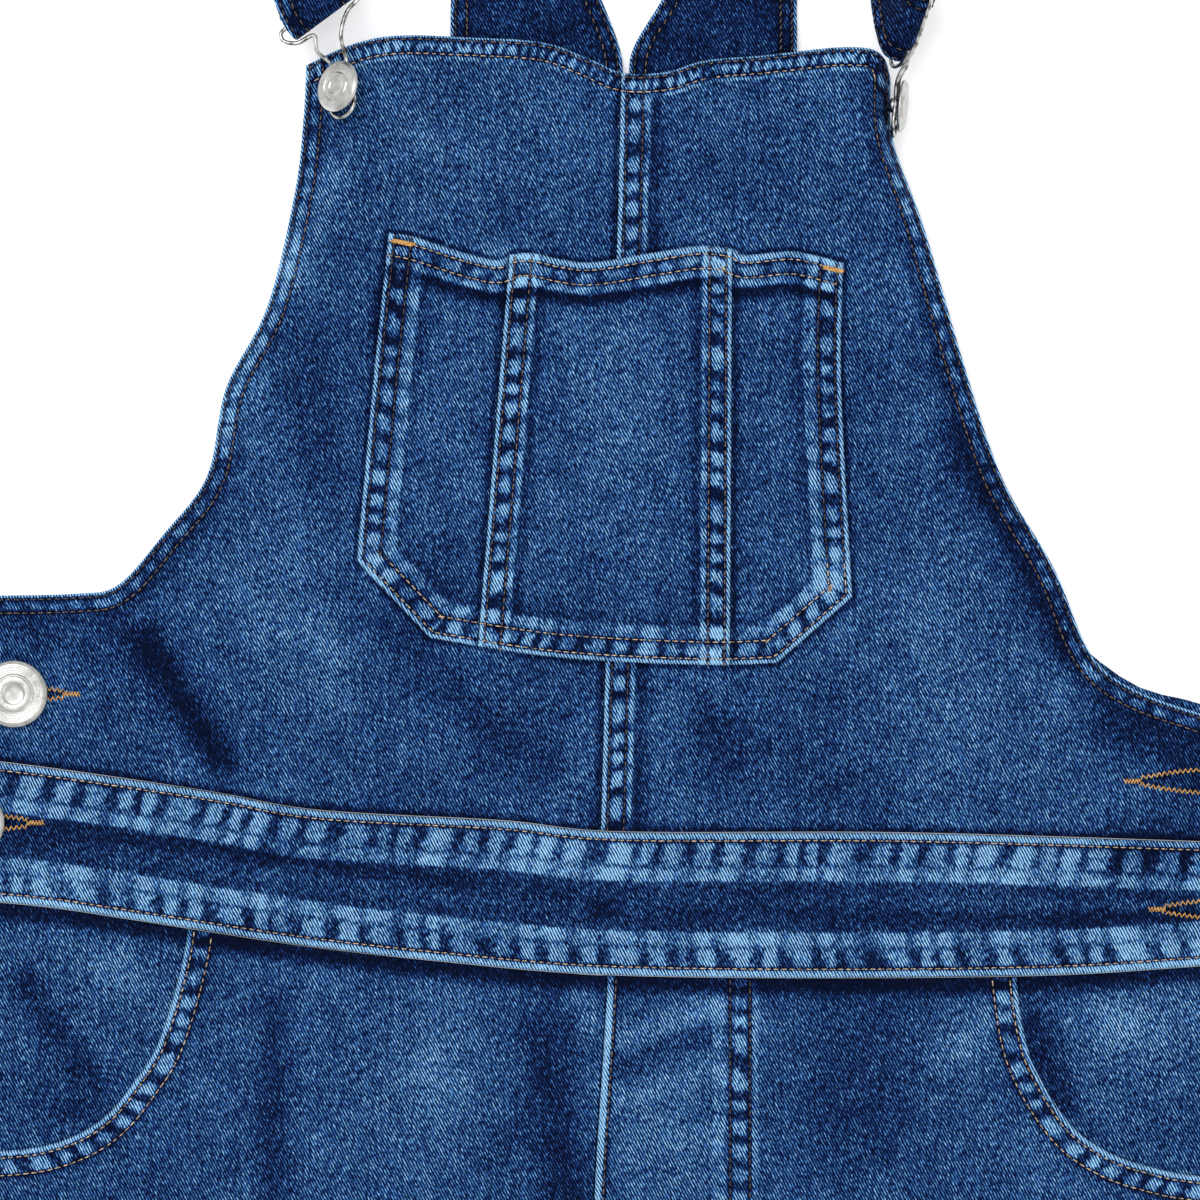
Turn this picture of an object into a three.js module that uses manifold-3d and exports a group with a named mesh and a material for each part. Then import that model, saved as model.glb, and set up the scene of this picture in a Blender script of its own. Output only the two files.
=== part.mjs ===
// Denim dungarees laid flat on their back with the front up, in millimetres.
// +X is to the right, +Y towards the shoulders and +Z up. The tables measure y from the seam
// between the bib and the waistband, and x from the middle of the bib pocket.
import * as THREE from 'three';
import * as BufferGeometryUtils from 'three/addons/utils/BufferGeometryUtils.js';
import Module from 'manifold-3d';

const wasm = await Module();
wasm.setup();

// Cloth
const wall = 1.2;                // one layer of denim
const gap = 0.3;                 // between pieces at a seam and between layers
const hemRise = 0.7;             // a folded hem or felled seam above its panel
const bandRise = 0.9;            // the double waistband above its neighbours
const frontBase = wall + gap;    // the underside of the front cloth where it lies on the back
const pocketLift = wall + gap;   // how far the hip facing lifts the front leg above it
const strapLift = 1.5;           // how far the strap ends lift the bib above them
const steepest = 2.6;            // the most that a slope thickens a wall measured upright

// Hems and seams
const armholeHem = 6.2;
const bibTopHem = 5;
const pocketHem = 5.5;
const scoopHem = 9;
const legHem = 16;
const facingUnder = 10;          // how far a hip facing reaches under the front leg
const felledWidth = 9.4;
const flyWidth = 46;
const flyDepth = 150;

// Metal
const sideButtonRadius = 10.2;
const bibButtonRadius = 7.9;
const wireRadius = 0.75;
const strapLayer = 2.4;          // the strap is folded double
const rollRadius = 3.3;          // the strap's mid layer round the hook's bar
const slideWidth = 37;
const slideLength = 7;
const slideHeight = 7;
const slideWall = 1.8;

const dark = { color: 0x2a4672, roughness: 0.9, metalness: 0 };
const light = { color: 0x35568a, roughness: 0.9, metalness: 0 };
const steel = { color: 0xb9bab8, roughness: 0.32, metalness: 1 };

// Edges and seams, each row a point that the edge passes through
const bibTopEdge = [
  { x: -95.2, y: 232.4 },
  { x: -85.2, y: 236.6 },
  { x: -69.7, y: 240.4 },
  { x: -50, y: 240.8 },
  { x: -24.2, y: 239.4 },
  { x: -10, y: 234.6 },
  { x: 1, y: 230 },
  { x: 14, y: 230.3 },
  { x: 26, y: 233.8 },
  { x: 45, y: 235.3 },
  { x: 68, y: 236.6 },
  { x: 79, y: 234.6 },
  { x: 82, y: 227.9 },
];
const leftArmhole = [
  { x: -95.2, y: 232.4 },
  { x: -95.9, y: 217.3 },
  { x: -98.5, y: 194.2 },
  { x: -106.7, y: 159.4 },
  { x: -119.4, y: 134.8 },
  { x: -125.2, y: 108 },
  { x: -137.9, y: 90.9 },
  { x: -152, y: 75 },
  { x: -165, y: 72.2 },
  { x: -194, y: 71.6 },
];
const rightArmhole = [
  { x: 82, y: 227.9 },
  { x: 82.8, y: 209.1 },
  { x: 92.4, y: 182.4 },
  { x: 104.2, y: 141.8 },
  { x: 115.8, y: 107.3 },
  { x: 131.5, y: 80 },
  { x: 142.4, y: 54.5 },
  { x: 155, y: 43.6 },
  { x: 176, y: 35.8 },
  { x: 198, y: 28.5 },
];
const leftSide = [
  { x: -194, y: 71.6 },
  { x: -207, y: 20 },
  { x: -215, y: -24 },
  { x: -221, y: -95 },
  { x: -227, y: -170 },
  { x: -226, y: -260 },
  { x: -218, y: -400 },
  { x: -207, y: -600 },
  { x: -197, y: -940 },
];
const rightSide = [
  { x: 198, y: 28.5 },
  { x: 203, y: -4 },
  { x: 207, y: -40 },
  { x: 214, y: -110 },
  { x: 221, y: -180 },
  { x: 220, y: -260 },
  { x: 213, y: -400 },
  { x: 203, y: -600 },
  { x: 195, y: -940 },
];
const bandTop = [
  { x: -230, y: 24.5 },
  { x: -188, y: 21.2 },
  { x: -127, y: 12.7 },
  { x: -92, y: 6.6 },
  { x: -36, y: 3.4 },
  { x: 0, y: 0 },
  { x: 85, y: -0.3 },
  { x: 176, y: -3 },
  { x: 230, y: -5 },
];
const bandBottom = [
  { x: -230, y: -18.5 },
  { x: -180, y: -22.2 },
  { x: -148, y: -26.7 },
  { x: -97, y: -34.5 },
  { x: -51, y: -39.7 },
  { x: -6, y: -43.4 },
  { x: 60, y: -44.4 },
  { x: 130, y: -43.6 },
  { x: 176, y: -40.8 },
  { x: 230, y: -37 },
];
const leftScoop = [
  { x: -131.2, y: -10 },
  { x: -131.4, y: -33 },
  { x: -139.1, y: -61.8 },
  { x: -147.3, y: -75.8 },
  { x: -157, y: -87 },
  { x: -170, y: -93.8 },
  { x: -188, y: -96.7 },
  { x: -235, y: -98.6 },
];
const rightScoop = [
  { x: 120.2, y: -30 },
  { x: 120.3, y: -45.8 },
  { x: 124.4, y: -68 },
  { x: 135.5, y: -87.3 },
  { x: 147, y: -96.4 },
  { x: 160, y: -101.2 },
  { x: 178, y: -104.4 },
  { x: 230, y: -108 },
];
const leftInseam = [
  { x: -3.6, y: -240 },
  { x: -12, y: -272 },
  { x: -24, y: -360 },
  { x: -34, y: -600 },
  { x: -46, y: -940 },
];
const rightInseam = [
  { x: -3, y: -240 },
  { x: 6, y: -272 },
  { x: 20, y: -360 },
  { x: 30, y: -600 },
  { x: 44, y: -940 },
];
const pocketTop = [
  { x: -70, y: 181.5 },
  { x: -62, y: 178 },
  { x: -42.4, y: 172.7 },
  { x: -34.8, y: 172.1 },
  { x: -27.3, y: 175.2 },
  { x: -8, y: 172.5 },
  { x: 22, y: 177 },
  { x: 36, y: 176.2 },
  { x: 52, y: 174.6 },
  { x: 67.7, y: 172.4 },
];
const pocketRight = [
  { x: 67.7, y: 172.4 },
  { x: 67, y: 136 },
  { x: 70.4, y: 71.2 },
];
const pocketBottom = [
  { x: 47.6, y: 51.2 },
  { x: 24, y: 50.6 },
  { x: -20, y: 53 },
  { x: -57.6, y: 58.8 },
];
const pocketLeft = [
  { x: -79.7, y: 82 },
  { x: -74.8, y: 136 },
  { x: -70, y: 181.5 },
];
const backArmholeLeft = [
  { x: -55, y: 215 },
  { x: -68, y: 175 },
  { x: -92, y: 130 },
  { x: -124, y: 86 },
  { x: -150, y: 69.5 },
  { x: -194, y: 68.4 },
];
const backArmholeRight = [
  { x: 198, y: 31.6 },
  { x: 176, y: 38.9 },
  { x: 152, y: 47 },
  { x: 122, y: 76 },
  { x: 90, y: 130 },
  { x: 68, y: 175 },
  { x: 56, y: 215 },
];

// The seams between panels run straight from top to bottom
const centreSeam = { top: { x: 0.9, y: 250 }, bottom: { x: -6.2, y: -10 } };
const flySeam = { top: { x: -3.8, y: 20 }, bottom: { x: -6.4, y: -260 } };
const pocketSeamLeft = { top: { x: -32.4, y: 190 }, bottom: { x: -44.5, y: 40 } };
const pocketSeamRight = { top: { x: 34.2, y: 190 }, bottom: { x: 33.4, y: 40 } };

// The largest folds: each a soft ridge from one point to another
const folds = [
  { fromX: -70, fromY: 202, toX: -101, toY: 160, height: 3.4, halfWidth: 15 },
  { fromX: -158, fromY: 60, toX: -122, toY: 14, height: 2.4, halfWidth: 13 },
  { fromX: -135, fromY: 72, toX: -96, toY: 22, height: 2.8, halfWidth: 12 },
  { fromX: 88, fromY: 150, toX: 118, toY: 62, height: 2.2, halfWidth: 17 },
  { fromX: -60, fromY: 26, toX: -20, toY: 34, height: 1.6, halfWidth: 16 },
  { fromX: 60, fromY: 30, toX: 120, toY: 18, height: 1.8, halfWidth: 15 },
  { fromX: -90, fromY: -62, toX: -40, toY: -84, height: 2, halfWidth: 18 },
  { fromX: 60, fromY: -70, toX: 100, toY: -96, height: 1.8, halfWidth: 18 },
  { fromX: -22, fromY: -214, toX: -120, toY: -172, height: 3, halfWidth: 16 },
  { fromX: 14, fromY: -218, toX: 112, toY: -180, height: 3, halfWidth: 16 },
  { fromX: -40, fromY: -262, toX: -160, toY: -230, height: 2.6, halfWidth: 18 },
  { fromX: 40, fromY: -268, toX: 150, toY: -240, height: 2.4, halfWidth: 18 },
  { fromX: -60, fromY: -560, toX: -170, toY: -590, height: 2.6, halfWidth: 22 },
  { fromX: 70, fromY: -600, toX: 180, toY: -566, height: 2.6, halfWidth: 22 },
  { fromX: -70, fromY: -660, toX: -160, toY: -640, height: 2, halfWidth: 20 },
  { fromX: 60, fromY: -656, toX: 150, toY: -682, height: 2, halfWidth: 20 },
  { fromX: -70, fromY: -850, toX: -170, toY: -872, height: 2, halfWidth: 20 },
  { fromX: 70, fromY: -870, toX: 160, toY: -852, height: 2, halfWidth: 20 },
];

// The bib's top corners roll over where the hooks pull them: the outer flank falls to the edge
const cornerRolls = [
  { side: 1, edge: rightArmhole, height: 13, flank: 7, reach: 46, fadeY: 166, fullY: 206 },
  { side: -1, edge: leftArmhole, height: 8, flank: 18, reach: 56, fadeY: 176, fullY: 212 },
];

// Side buttons stand in their buttonholes; open is how wide the hole gapes beside the button
const sideButtons = [
  { name: 'left_upper', x: -183.6, y: 41.8, tailX: -168, open: 1.6 },
  { name: 'left_lower', x: -196.6, y: 2.8, tailX: -182, open: 1.6 },
  { name: 'right_upper', x: 187, y: 15.4, tailX: 158, open: 6.6 },
  { name: 'right_lower', x: 190.5, y: -23.4, tailX: 164, open: 4 },
];

// Bib buttons: the middle of the cap, and the way that it faces
const bibButtons = [
  { name: 'left', x: -85.8, y: 225.2, z: 15, faceX: -0.55, faceY: 0.17, faceZ: 0.82 },
  { name: 'right', x: 87.4, y: 219.3, z: 9.8, faceX: 0.97, faceY: -0.08, faceZ: 0.24 },
];

// Hook bars, which the strap ends wrap: plan angle and lean in degrees, and how far the legs
// stand proud to clear the bib's top edge
const hookBars = [
  { name: 'left', x: -85.6, y: 254.2, z: 12.4, turn: 40, lean: 4, length: 31, proud: 2.4 },
  { name: 'right', x: 87, y: 244.6, z: 15.4, turn: 65, lean: 38, length: 30, proud: 0.4 },
];

// Straps from the back bib, over the fold at the shoulder and down to the roll at the hook
const strapRuns = {
  left: [
    { x: -26.6, y: 215.4, z: 1.2, width: 54.5, turn: 0, lean: 0 },
    { x: -25.6, y: 235, z: 1.2, width: 52.4, turn: 0, lean: 0 },
    { x: -28.8, y: 252, z: 1.2, width: 45.4, turn: 5, lean: 0 },
    { x: -34, y: 274, z: 1.2, width: 35, turn: 12, lean: 0 },
    { x: -40, y: 300, z: 1.2, width: 30, turn: 16, lean: 0 },
    { x: -54, y: 345, z: 1.2, width: 30, turn: 18, lean: 0 },
    { x: -68, y: 385, z: 1.2, width: 30, turn: 14, lean: 0 },
    { x: -73, y: 399, z: 1.3, width: 30, turn: 5, lean: 0 },
    { x: -75, y: 402, z: 3.2, width: 30, turn: 0, lean: 0 },
    { x: -77, y: 399, z: 5.1, width: 30, turn: -5, lean: 0 },
    { x: -82, y: 385, z: 5.2, width: 30, turn: -12, lean: 0 },
    { x: -96, y: 345, z: 5.2, width: 30, turn: -12, lean: 0 },
    { x: -102, y: 312, z: 5.2, width: 30, turn: 2, lean: 0 },
    { x: -98, y: 282, z: 9.4, width: 30, turn: 24, lean: 0 },
  ],
  right: [
    { x: 29, y: 215.4, z: 1.2, width: 51, turn: 0, lean: 0 },
    { x: 28.4, y: 235, z: 1.2, width: 50.6, turn: 0, lean: 0 },
    { x: 33.6, y: 252, z: 1.2, width: 40.4, turn: -6, lean: 0 },
    { x: 38, y: 274, z: 1.2, width: 33, turn: -12, lean: 0 },
    { x: 44, y: 300, z: 1.2, width: 30, turn: -16, lean: 0 },
    { x: 60, y: 345, z: 1.2, width: 30, turn: -22, lean: 0 },
    { x: 80, y: 384, z: 1.2, width: 30, turn: -18, lean: 0 },
    { x: 88, y: 396, z: 1.3, width: 30, turn: -8, lean: 0 },
    { x: 91, y: 398.6, z: 3.4, width: 30, turn: 0, lean: 0 },
    { x: 94, y: 396, z: 5.5, width: 30, turn: 6, lean: 0 },
    { x: 98, y: 382, z: 5.2, width: 30, turn: 10, lean: 0 },
    { x: 104, y: 348, z: 5, width: 30, turn: 2, lean: 0 },
    { x: 101, y: 314, z: 4.4, width: 30, turn: -2, lean: 0 },
    { x: 93, y: 286, z: 5.6, width: 29, turn: 18, lean: 8 },
    { x: 84.6, y: 264, z: 9, width: 27, turn: 46, lean: 26 },
  ],
};
const slidePlace = 0.479;         // the slide's share of the way along a strap's run

// Lattice lines that every sheet of a region shares, so that layers have the same facets
const range = (from, to, step) => {
  const count = Math.round(Math.abs(to - from) / step);
  return Array.from({ length: count + 1 }, (_, i) => from + ((to - from) * i) / count);
};
const bibLattice = {
  xs: [...range(-244, -100, 18), ...range(-90, -70, 10), ...range(-54, 64, 16.9),
    ...range(70, 90, 5), ...range(104, 240, 17)],
  ys: [...range(-58, 150, 16), ...range(162, 222, 10), ...range(230, 254, 12)],
};
const legLattice = {
  xs: range(-244, 236, 24),
  ys: [...range(-960, -340, 52), ...range(-310, -10, 30), 20],
};

const vector = ({ x, y }) => new THREE.Vector2(x, y);
const radians = THREE.MathUtils.degToRad;
const smooth = (value, from, to) => THREE.MathUtils.smoothstep(value, from, to);

// A smooth run of points through a table's rows
function through(rows, spacing = 14) {
  const spline = new THREE.SplineCurve(rows.map(vector));
  return spline.getSpacedPoints(Math.max(2, Math.ceil(spline.getLength() / spacing)));
}

// The points moved sideways to the left of their direction
function shifted(points, distance) {
  return points.map((point, i) => {
    const before = points[Math.max(0, i - 1)];
    const after = points[Math.min(points.length - 1, i + 1)];
    const along = after.clone().sub(before).normalize();
    return new THREE.Vector2(point.x - along.y * distance, point.y + along.x * distance);
  });
}

const reversed = (points) => [...points].reverse();

// A strip beside a run of points
const strip = (points, from, to) => [...shifted(points, from), ...reversed(shifted(points, to))];

// The height of a run of points at x
function heightAt(points, x) {
  const i = Math.max(1, points.findIndex((point) => point.x >= x));
  const a = points[i - 1];
  const b = points[i];
  return a.y + ((b.y - a.y) * (x - a.x)) / (b.x - a.x);
}

// Where a falling edge stands at y
function edgeAt(points, y) {
  const i = Math.max(1, points.findIndex((point) => point.y <= y));
  const a = points[i - 1];
  const b = points[i];
  const share = THREE.MathUtils.clamp((a.y - y) / (a.y - b.y || 1), 0, 1);
  return a.x + (b.x - a.x) * share;
}

function foldHeight(x, y) {
  return folds.reduce((sum, { fromX, fromY, toX, toY, height, halfWidth }) => {
    const dx = toX - fromX;
    const dy = toY - fromY;
    const share = ((x - fromX) * dx + (y - fromY) * dy) / (dx * dx + dy * dy);
    const held = THREE.MathUtils.clamp(share, 0, 1);
    const distance = Math.hypot(x - fromX - dx * held, y - fromY - dy * held);
    return sum + height * Math.exp(-((distance / halfWidth) ** 2));
  }, 0);
}

function rollHeight(x, y) {
  return cornerRolls.reduce((sum, { side, edge, height, flank, reach, fadeY, fullY }) => {
    const inside = side * (edgeAt(edge, y) - x);
    const rise = smooth(inside, -1.5, flank) * (1 - smooth(inside, flank, reach));
    return sum + height * rise * smooth(y, fadeY, fullY);
  }, 0);
}

// The hip facings lift the front legs over the pockets
const hipLift = (x, y) => pocketLift * smooth(Math.abs(x), 62, 84) * smooth(y, -196, -150);

const endsLift = (x, y) => strapLift * smooth(y, 186, 203) * (1 - smooth(Math.abs(x), 74, 96));

const bibUnder = (x, y) => frontBase + foldHeight(x, y) + rollHeight(x, y) + endsLift(x, y);
const legUnder = (x, y) => bibUnder(x, y) + hipLift(x, y);

// How much a slope thickens the wall measured upright
function slopeFactor(surface, x, y) {
  const step = 3;
  const slopeX = (surface(x + step, y) - surface(x - step, y)) / (2 * step);
  const slopeY = (surface(x, y + step) - surface(x, y - step)) / (2 * step);
  return Math.min(steepest, Math.hypot(1, slopeX, slopeY));
}

const above = (surface, layers) => (x, y) => surface(x, y) + layers * slopeFactor(surface, x, y);

// A closed solid from shared points and faces
function solid(points, faces) {
  const geometry = new THREE.BufferGeometry();
  geometry.setAttribute('position', new THREE.Float32BufferAttribute(points.flat(), 3));
  geometry.setIndex(faces.flat());
  return geometry;
}

function toManifold(geometry) {
  const bare = geometry.clone();
  bare.deleteAttribute('normal');
  bare.deleteAttribute('uv');
  const merged = BufferGeometryUtils.mergeVertices(bare, 1e-4);
  return new wasm.Manifold(new wasm.Mesh({
    numProp: 3,
    vertProperties: new Float32Array(merged.attributes.position.array),
    triVerts: new Uint32Array(merged.index.array),
  }));
}

function toGeometry(manifold) {
  const mesh = manifold.getMesh();
  const geometry = new THREE.BufferGeometry();
  geometry.setAttribute('position', new THREE.BufferAttribute(mesh.vertProperties, 3));
  geometry.setIndex(new THREE.BufferAttribute(mesh.triVerts, 1));
  return geometry;
}

// Everything above and below an outline
function prism(outline, bottom = -5, top = 60) {
  const shape = new THREE.Shape(outline.map((point) => new THREE.Vector2(point.x, point.y)));
  const geometry = new THREE.ExtrudeGeometry(shape, { depth: top - bottom, bevelEnabled: false });
  geometry.translate(0, 0, bottom);
  return toManifold(geometry);
}

// The lattice between two surfaces, over the part of it that an outline needs
function slab(lattice, outline, lower, upper) {
  const box = new THREE.Box2().setFromPoints(outline);
  const within = (lines, low, high) => lines.filter((line, i) => (
    (lines[i + 1] ?? Infinity) > low - 1 && (lines[i - 1] ?? -Infinity) < high + 1));
  const xs = within(lattice.xs, box.min.x, box.max.x);
  const ys = within(lattice.ys, box.min.y, box.max.y);
  const points = [];
  for (const surface of [lower, upper]) {
    for (const y of ys) for (const x of xs) points.push([x, y, surface(x, y)]);
  }
  const size = xs.length * ys.length;
  const at = (i, j) => j * xs.length + i;
  const faces = [];
  const quad = (a, b, c, d) => faces.push([a, b, c], [a, c, d]);
  for (let j = 0; j + 1 < ys.length; j += 1) {
    for (let i = 0; i + 1 < xs.length; i += 1) {
      const [a, b, c, d] = [at(i, j), at(i + 1, j), at(i + 1, j + 1), at(i, j + 1)];
      quad(a + size, b + size, c + size, d + size);
      faces.push([a, c, b], [a, d, c]);
    }
  }
  const rim = [
    ...xs.slice(0, -1).map((_, i) => at(i, 0)),
    ...ys.slice(0, -1).map((_, j) => at(xs.length - 1, j)),
    ...reversed(xs.slice(1).map((_, i) => at(i + 1, ys.length - 1))),
    ...reversed(ys.slice(1).map((_, j) => at(0, j + 1))),
  ];
  rim.forEach((a, i) => {
    const b = rim[(i + 1) % rim.length];
    quad(a, b, b + size, a + size);
  });
  return toManifold(solid(points, faces));
}

// A wall of cloth with an outline, over a surface
const sheet = (lattice, outline, surface, layers = wall) => (
  slab(lattice, outline, surface, above(surface, layers)).intersect(prism(outline)));

// Raised bands on a sheet, kept inside its outline
function raised(lattice, outline, surface, bands, rise = hemRise) {
  return bands.reduce(
    (cloth, band) => cloth.add(
      sheet(lattice, band, surface, wall + rise).intersect(prism(outline))),
    sheet(lattice, outline, surface),
  );
}

const line = ({ top, bottom }, offset = 0) => [
  new THREE.Vector2(top.x + offset, top.y), new THREE.Vector2(bottom.x + offset, bottom.y)];
const seamX = ({ top, bottom }, y) => (
  top.x + ((bottom.x - top.x) * (top.y - y)) / (top.y - bottom.y));
const far = 400;                 // past the sides and the shoulders
const farDown = -1000;           // past the hems
const hipReach = 238;            // past the side seams at the hips
const leftOf = (seam) => [...line(seam, -gap / 2), new THREE.Vector2(-far, seam.bottom.y),
  new THREE.Vector2(-far, seam.top.y)];
const rightOf = (seam) => [...line(seam, gap / 2), new THREE.Vector2(far, seam.bottom.y),
  new THREE.Vector2(far, seam.top.y)];
const felled = (seam, width = felledWidth) => [...line(seam), ...reversed(line(seam, width))];

const dungarees = new THREE.Group();

function addPiece(name, geometry, finish) {
  const mesh = new THREE.Mesh(geometry, new THREE.MeshStandardMaterial(finish));
  mesh.name = name;
  dungarees.add(mesh);
  return mesh;
}

const addCloth = (name, manifold, finish = dark) => addPiece(name, toGeometry(manifold), finish);

const bandTopPoints = through(bandTop, 22);
const bandBottomPoints = through(bandBottom, 22);
const topOfBand = (x) => new THREE.Vector2(x, heightAt(bandTopPoints, x));
const bottomOfBand = (x) => new THREE.Vector2(x, heightAt(bandBottomPoints, x));

// The part of a side seam between two heights
function sideBetween(side, high, low) {
  return through(side, 22).filter((point) => point.y < high && point.y > low);
}

// The outline of a bib over the waistband, given its upper edge from left to right
function bibOutline(upperEdge) {
  const seam = shifted(bandTopPoints, gap / 2);
  const fullSeam = [new THREE.Vector2(-far, seam[0].y), ...seam,
    new THREE.Vector2(far, seam.at(-1).y)];
  const body = [...upperEdge, ...sideBetween(rightSide, rightSide[0].y - 4, -60),
    ...reversed(sideBetween(leftSide, leftSide[0].y - 4, -60))];
  return { body, keep: [...fullSeam, new THREE.Vector2(far, far), new THREE.Vector2(-far, far)] };
}

function buttonhole({ x, y, tailX, open }) {
  const out = Math.sign(x - tailX);
  const clear = 3.2;
  const half = open / 2;
  const round = range(-100, 100, 25).map((angle) => new THREE.Vector2(
    x + out * clear * Math.cos(radians(angle)), y + clear * Math.sin(radians(angle))));
  const tail = [
    new THREE.Vector2(x - out * clear, y + Math.max(half, 0.8)),
    new THREE.Vector2((x + tailX) / 2, y + half),
    new THREE.Vector2(tailX, y + 0.3),
    new THREE.Vector2(tailX, y - 0.3),
    new THREE.Vector2((x + tailX) / 2, y - half),
    new THREE.Vector2(x - out * clear, y - Math.max(half, 0.8)),
  ];
  return prism([...round, ...tail]);
}

const bibHoles = sideButtons.filter(({ name }) => name.endsWith('upper')).map(buttonhole);
const bandHoles = sideButtons.filter(({ name }) => name.endsWith('lower')).map(buttonhole);
const pierced = (cloth, holes) => holes.reduce((rest, hole) => rest.subtract(hole), cloth);

function frontBib() {
  const left = through(leftArmhole);
  const top = through(bibTopEdge);
  const right = through(rightArmhole);
  const { body, keep } = bibOutline([...reversed(left).slice(0, -1), ...top, ...right.slice(1)]);
  const seamTop = { top: centreSeam.top, bottom: { x: seamX(centreSeam, 179), y: 179 } };
  const seamFoot = { top: { x: seamX(centreSeam, 49), y: 49 }, bottom: centreSeam.bottom };
  const bands = [
    strip(left, -1, armholeHem),
    strip(right, 1, -armholeHem),
    strip(top, 1, -bibTopHem),
    felled(seamTop),
    felled(seamFoot),
  ];
  const whole = raised(bibLattice, body, bibUnder, bands).intersect(prism(keep));
  const holed = pierced(whole, bibHoles);
  addCloth('front_bib_left', holed.intersect(prism(leftOf(centreSeam))));
  addCloth('front_bib_right', holed.intersect(prism(rightOf(centreSeam))));
}

function waistbands() {
  const between = [...shifted(bandTopPoints, -gap / 2),
    ...reversed(shifted(bandBottomPoints, gap / 2))];
  const body = [...through(leftSide, 22), ...reversed(through(rightSide, 22))];
  const front = sheet(bibLattice, between, bibUnder, wall + bandRise).intersect(prism(body));
  addCloth('front_waistband', pierced(front, bandHoles), light);
  addCloth('back_waistband', prism(between, 0, wall).intersect(prism(body)));
}

function bibPocket() {
  const surface = (x, y) => above(bibUnder, wall)(x, y) + gap;
  const top = through(pocketTop, 7);
  const right = through(pocketRight, 20);
  const bottom = through(pocketBottom, 16);
  const left = through(pocketLeft, 20);
  const outline = [...top, ...right.slice(1), ...bottom, ...left.slice(0, -1)];
  const round = [...right, ...bottom, ...left];
  const bands = [strip(top, 1, -pocketHem), strip(round, 1, -pocketHem),
    felled(pocketSeamLeft), felled(pocketSeamRight, -felledWidth)];
  const whole = raised(bibLattice, outline, surface, bands, hemRise * 0.8);
  addCloth('bib_pocket_left', whole.intersect(prism(leftOf(pocketSeamLeft))));
  addCloth('bib_pocket_centre', whole.intersect(prism(rightOf(pocketSeamLeft)))
    .intersect(prism(leftOf(pocketSeamRight))));
  addCloth('bib_pocket_right', whole.intersect(prism(rightOf(pocketSeamRight))));
}

// One leg's outline from the waistband to the hem
function legOutline(side, inseam, seam, out) {
  const outer = sideBetween(side, -12, farDown);
  const inner = through(inseam, 40);
  const body = [new THREE.Vector2(seam.top.x, 20), new THREE.Vector2(outer[0].x, 20),
    ...outer, ...reversed(inner)];
  const below = shifted(bandBottomPoints, -gap / 2);
  const keep = [...below, new THREE.Vector2(bandBottom.at(-1).x, farDown),
    new THREE.Vector2(bandBottom[0].x, farDown)];
  const half = out < 0 ? leftOf(seam) : rightOf(seam);
  const legSide = [half[0], half[1], new THREE.Vector2(half[1].x, farDown),
    new THREE.Vector2(out * far, farDown), new THREE.Vector2(out * far, half[0].y)];
  return { body, keep, legSide };
}

// The J of stitching that marks the mock fly
function flyOutline() {
  const turn = new THREE.EllipseCurve(flySeam.top.x, -flyDepth, flyWidth, 42, 0, -Math.PI / 2, true);
  return [new THREE.Vector2(flySeam.top.x - 8, -20),
    new THREE.Vector2(flySeam.top.x + flyWidth, -20), ...turn.getPoints(8),
    new THREE.Vector2(flySeam.top.x - 8, -flyDepth - 42)];
}

function legs() {
  const plans = [
    { name: 'left', side: leftSide, inseam: leftInseam, scoop: leftScoop, out: -1 },
    { name: 'right', side: rightSide, inseam: rightInseam, scoop: rightScoop, out: 1 },
  ];
  for (const { name, side, inseam, scoop, out } of plans) {
    const { body, keep, legSide } = legOutline(side, inseam, flySeam, out);
    const cut = (cloth) => cloth.intersect(prism(keep)).intersect(prism(legSide));
    const opening = through(scoop, 8);
    const mouth = [...opening, new THREE.Vector2(out * far, opening.at(-1).y),
      new THREE.Vector2(out * far, opening[0].y)];
    const hemTop = side.at(-1).y + legHem;
    const hem = [new THREE.Vector2(-far, farDown), new THREE.Vector2(far, farDown),
      new THREE.Vector2(far, hemTop), new THREE.Vector2(-far, hemTop)];
    const overlap = -out * scoopHem;
    const bands = [strip(opening, out, overlap)];
    const fly = out > 0 ? [flyOutline()] : [];
    const cloth = raised(legLattice, body, legUnder, [...bands, ...fly]);
    const hemmed = cloth.add(
      sheet(legLattice, hem, legUnder, wall + hemRise).intersect(prism(body)));
    addCloth(`front_leg_${name}`, cut(hemmed).subtract(prism(mouth)));

    const facing = [...shifted(opening, -out * facingUnder),
      new THREE.Vector2(out * hipReach, opening.at(-1).y - facingUnder),
      new THREE.Vector2(out * hipReach, 20),
      new THREE.Vector2(opening[0].x - out * facingUnder, 20)];
    const lining = sheet(legLattice, facing, bibUnder);
    addCloth(`hip_facing_${name}`, cut(lining.intersect(prism(body))), light);
    addCloth(`back_leg_${name}`, cut(prism(body, 0, wall)));
  }
}

function backBib() {
  const left = through(backArmholeLeft);
  const right = through(backArmholeRight);
  const { body, keep } = bibOutline([...reversed(left), ...reversed(right)]);
  addCloth('back_bib', prism(body, 0, wall).intersect(prism(keep)));
}

// A run of rows that give a ribbon's middle, width, plan angle and lean
function ribbonRun(rows) {
  const middle = new THREE.CatmullRomCurve3(rows.map(({ x, y, z }) => new THREE.Vector3(x, y, z)));
  const pose = new THREE.CatmullRomCurve3(
    rows.map(({ width, turn, lean }) => new THREE.Vector3(width, turn, lean)));
  return (share) => {
    const centre = middle.getPoint(share);
    centre.z = Math.max(centre.z, strapLayer / 2);
    const { x: width, y: turn, z: lean } = pose.getPoint(share);
    const across = new THREE.Vector3(
      Math.cos(radians(turn)) * Math.cos(radians(lean)),
      Math.sin(radians(turn)) * Math.cos(radians(lean)),
      Math.sin(radians(lean)),
    );
    const out = new THREE.Vector3().crossVectors(across, middle.getTangent(share)).normalize();
    return { centre, width, across, out };
  };
}

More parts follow.
